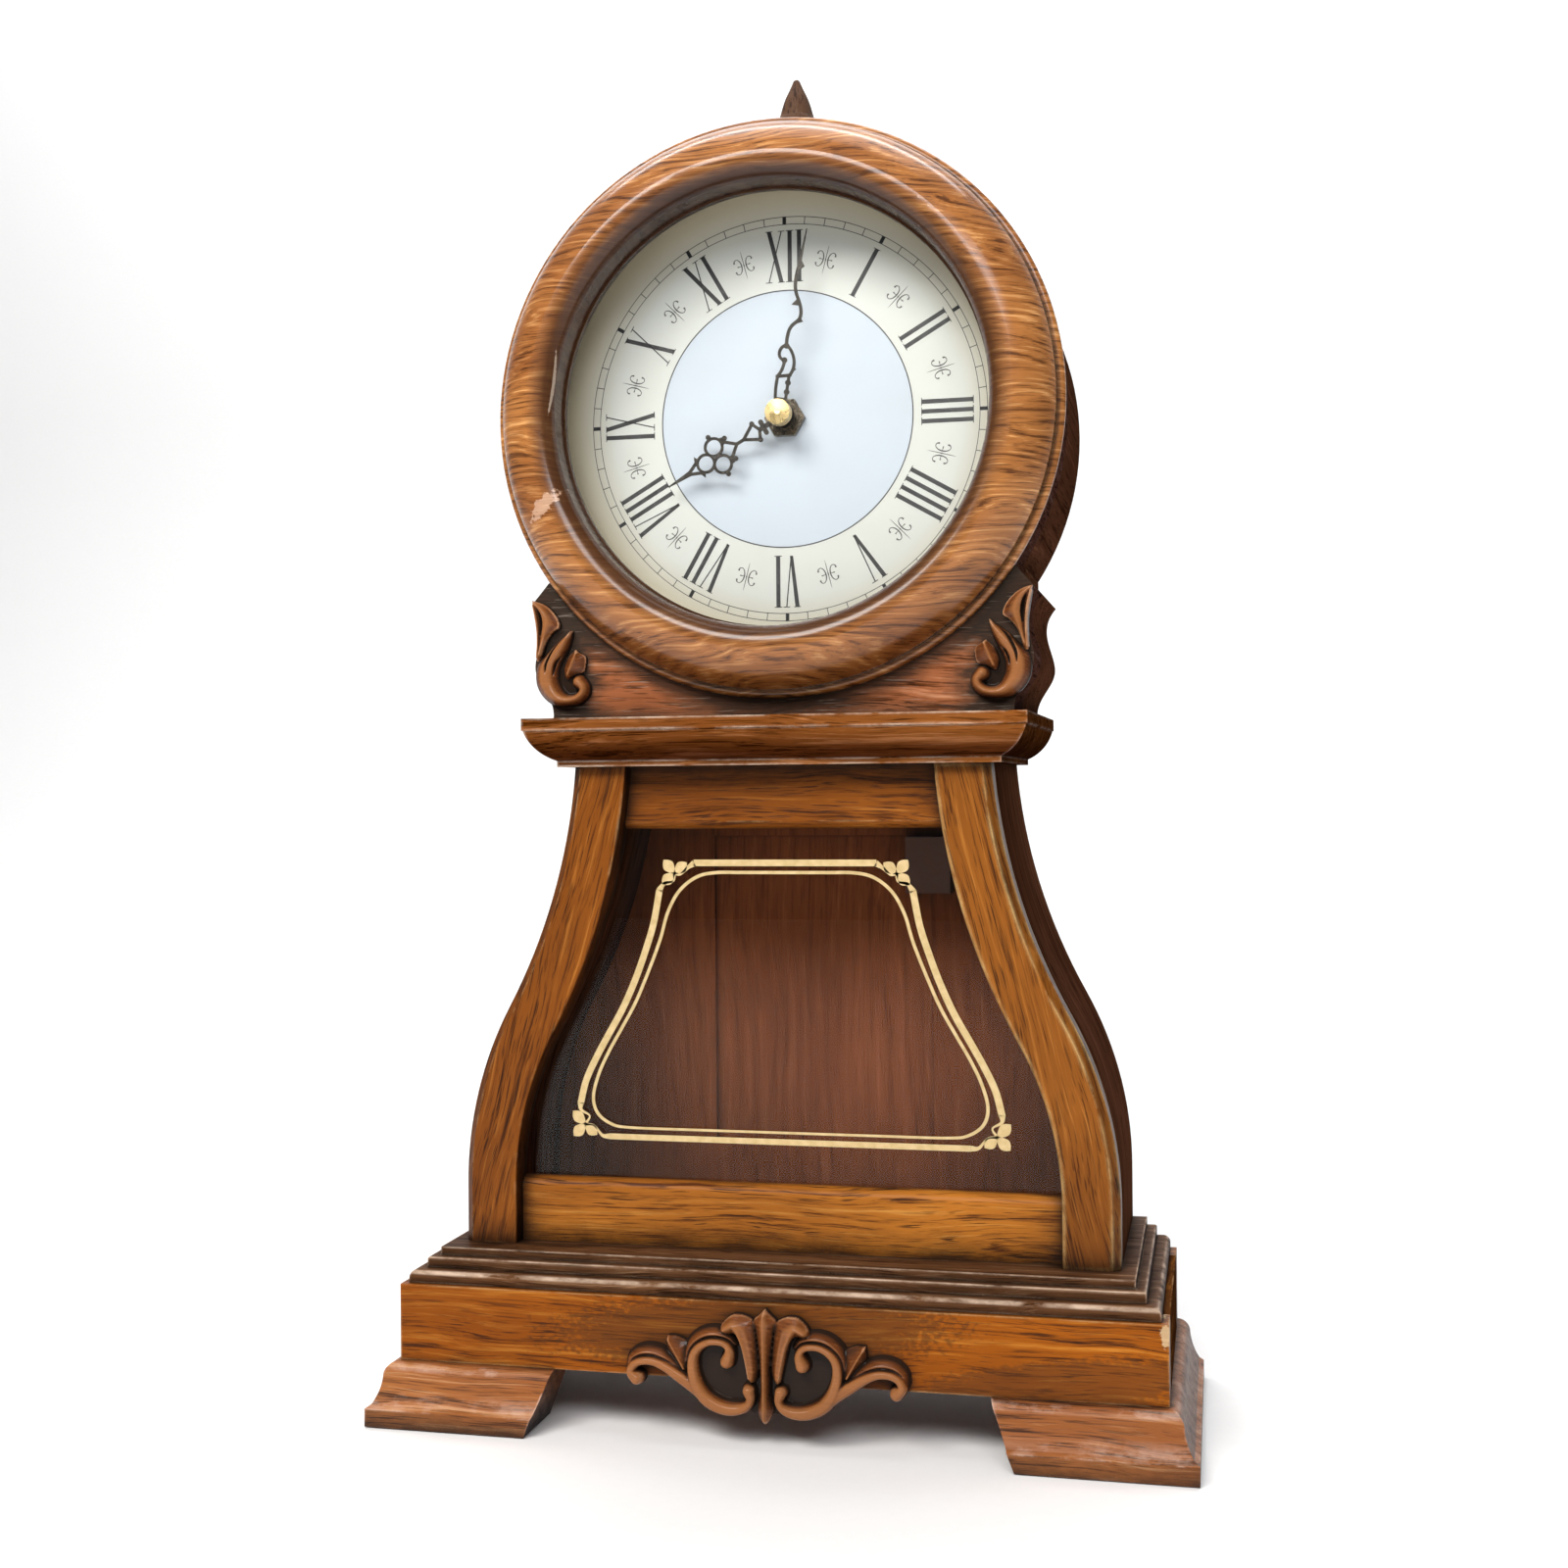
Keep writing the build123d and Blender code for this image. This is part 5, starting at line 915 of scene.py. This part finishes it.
baseLook["strokes"] = baseLook["half"] + mirrored(baseLook["half"]) + baseLook["centre"]
shown(reliefPiece("base_relief", baseLook, carvedOak), "oak_carved", "base_carving")

# shoulder carving: tall blade, small leaf, and a broad leaf that runs into a scroll with a ball
shoulderLook = {
    "left": 63.8, "right": 84.2, "low": 236.6, "high": 272.4, "step": 0.18, "back": -23.5, "depth": 4.95,
    "strokes": [
        {"floor": 1.0, "path": [(73.0, 242.0, 4.0, 0.7), (74.5, 248, 4.0, 0.7), (76.0, 253, 3.5, 0.7)]},
        {"outline": [
            (69.0, 255.4), (71.6, 252.9), (73.2, 249.0), (72.2, 245.6), (69.2, 246.8), (66.2, 248.0),
            (65.5, 250.6), (65.6, 253.0), (67.6, 254.4)],
         "crease": [(68.4, 254.4), (69.5, 251.7), (71.4, 247.2)], "crest": 4.2, "fall": 2.2},
        {"outline": [
            (84.1, 272.3), (81.6, 271.6), (79.0, 270.3), (76.8, 268.2), (75.0, 265.6), (74.6, 263.0),
            (76.6, 261.6), (78.9, 258.7), (80.2, 255.6), (81.2, 252.0), (82.6, 252.0), (82.2, 256.0),
            (82.0, 260.2), (82.4, 264.6), (83.4, 268.4)],
         "crease": [(83.4, 271.4), (80.6, 269.2), (78.6, 265.4), (79.2, 261.0), (81.4, 254.0)],
         "crest": 4.8, "fall": 2.0},
        {"floor": 0.4, "crown": 2.0, "path": [
            (83.5, 270.6, 0.5, 4.6), (82.6, 266.8, 0.75, 4.6), (82.0, 262.4, 0.7, 4.5),
            (81.9, 257.8, 0.7, 4.4), (82.2, 253.0, 0.8, 4.3)]},
        {"cut": True, "path": [
            (82.2, 269.6, 0.2, 0.6), (81.2, 267.2, 0.6, 2.2), (80.7, 264.0, 0.6, 2.2),
            (80.9, 260.6, 0.3, 0.9)]},
        {"floor": 0.22, "crown": 2.0, "path": [
            (70.3, 261.6, 0.3, 3.9), (71.3, 259.8, 1.1, 4.5), (73.2, 257.2, 2.2, 4.8),
            (75.2, 254.6, 2.9, 4.9), (77.2, 251.9, 3.4, 4.9), (78.9, 249.2, 4.2, 4.9),
            (79.2, 246.0, 4.3, 4.9), (78.6, 243.4, 4.1, 4.9), (77.0, 240.9, 3.6, 4.9),
            (74.6, 239.0, 2.9, 4.9), (71.6, 238.4, 2.2, 4.85), (68.4, 239.0, 2.1, 4.8),
            (66.4, 240.8, 2.1, 4.8), (66.2, 242.8, 2.2, 4.85), (67.8, 244.6, 2.6, 4.95)]},
        {"cut": True, "path": [
            (73.9, 258.6, 0.2, 0.5), (75.8, 256.6, 0.45, 1.7), (77.6, 253.6, 0.55, 2.1),
            (78.8, 250.6, 0.5, 1.8), (79.1, 247.6, 0.2, 0.4)]},
        {"cut": True, "path": [
            (73.6, 253.4, 0.15, 0.4), (75.4, 251.4, 0.4, 1.5), (76.4, 249.0, 0.4, 1.4),
            (76.8, 246.6, 0.15, 0.4)]},
    ],
}
shown(reliefPiece("right_relief", shoulderLook, carvedOak), "oak_carved", "right_carving")
leftLook = {**shoulderLook, "left": -shoulderLook["right"], "right": -shoulderLook["left"],
            "strokes": mirrored(shoulderLook["strokes"])}
shown(reliefPiece("left_relief", leftLook, carvedOak), "oak_carved", "left_carving")
print("carvings cut")

# pale sweep behind and under the clock
sweepLook = {"half": 3.2, "front": -2.4, "bend": 0.9, "radius": 0.7, "steps": 12, "top": 3.2, "under": 0.0004,
             "first": (0.86, 0.86, 0.86), "second": (0.89, 0.89, 0.89)}
profile = [(sweepLook["front"], 0.0), (sweepLook["bend"], 0.0)]
for index in range(1, sweepLook["steps"] + 1):
    turn = quarter * index / sweepLook["steps"]
    profile.append((sweepLook["bend"] + sweepLook["radius"] * math.sin(turn),
                    sweepLook["radius"] - sweepLook["radius"] * math.cos(turn)))
profile.append((sweepLook["bend"] + sweepLook["radius"], sweepLook["top"]))
sides = (-sweepLook["half"], sweepLook["half"])
points = [(x, y, z - sweepLook["under"]) for y, z in profile for x in sides]
faces = [[2 * i, 2 * i + 1, 2 * i + 3, 2 * i + 2] for i in range(len(profile) - 1)]
material, tree = newMaterial("pale paper")
grit = noiseOf(tree, objectCoords(tree), (260, 260, 260), 2.0)
finishPrincipled(tree, {"Base Color": mixColour(tree, grit, sweepLook["first"], sweepLook["second"]),
                        "Roughness": 0.9, "Specular IOR Level": 0.1})
sweep = newPiece("sweep", points, faces, material)
sweep.data.shade_smooth()

lightLooks = (
    {"name": "key", "size": (0.8, 0.5), "power": 19, "colour": (1.0, 0.97, 0.93),
     "place": (-0.38, -1.05, 1.15), "aim": (0, 0, 0.25)},
    {"name": "fill", "size": (0.9, 0.5), "power": 13, "colour": (0.98, 0.98, 1.0),
     "place": (0.42, -1.50, 1.22), "aim": (0, 0, 0.20)},
    {"name": "top", "size": (1.0, 1.0), "power": 6, "colour": (1.0, 1.0, 1.0),
     "place": (0.0, 0.10, 1.8), "aim": (0, 0.1, 0.2)},
    {"name": "wall", "size": (2.6, 0.5), "power": 40, "colour": (1.0, 1.0, 1.0),
     "place": (-0.3, 0.75, 2.3), "aim": (-0.3, 1.6, 0.9)},
)
for look in lightLooks:
    light = bpy.data.lights.new(look["name"], "AREA")
    light.shape = "RECTANGLE"
    light.size, light.size_y = look["size"]
    light.energy = look["power"]
    light.color = look["colour"]
    lamp = bpy.data.objects.new(look["name"], light)
    lamp.location = look["place"]
    lamp.rotation_euler = (Vector(look["aim"]) - Vector(look["place"])).to_track_quat("-Z", "Y").to_euler()
    bpy.context.scene.collection.objects.link(lamp)
roomLook = {"colour": (0.95, 0.97, 1.0, 1), "strength": 0.16}
world = bpy.data.worlds.new("pale room")
world.use_nodes = True
backdrop = world.node_tree.nodes["Background"].inputs
backdrop["Color"].default_value = roomLook["colour"]
backdrop["Strength"].default_value = roomLook["strength"]
bpy.context.scene.world = world

# the camera solved from the photo
cameraLook = {"place": (0.14219, -0.62944, 0.2072), "lens": 43.49, "yaw": 13.03, "pitch": -0.23,
              "roll": -0.48}
yaw, pitch, roll = (math.radians(cameraLook[key]) for key in ("yaw", "pitch", "roll"))
ahead = Vector((-math.sin(yaw) * math.cos(pitch), math.cos(yaw) * math.cos(pitch), -math.sin(pitch)))
right = Vector((math.cos(yaw), math.sin(yaw), 0))
up = right.cross(ahead)
tiltedRight = right * math.cos(roll) + up * math.sin(roll)
tiltedUp = up * math.cos(roll) - right * math.sin(roll)
camera = bpy.data.cameras.new("photo_view")
camera.sensor_width = 36
camera.lens = cameraLook["lens"]
camera.clip_start = 0.01
viewer = bpy.data.objects.new("photo_view", camera)
turn = Matrix((tiltedRight, tiltedUp, -ahead)).transposed().to_4x4()
viewer.matrix_world = Matrix.Translation(cameraLook["place"]) @ turn
bpy.context.scene.collection.objects.link(viewer)
bpy.context.scene.camera = viewer
bpy.context.scene.view_settings.view_transform = "Standard"
print("stage set")
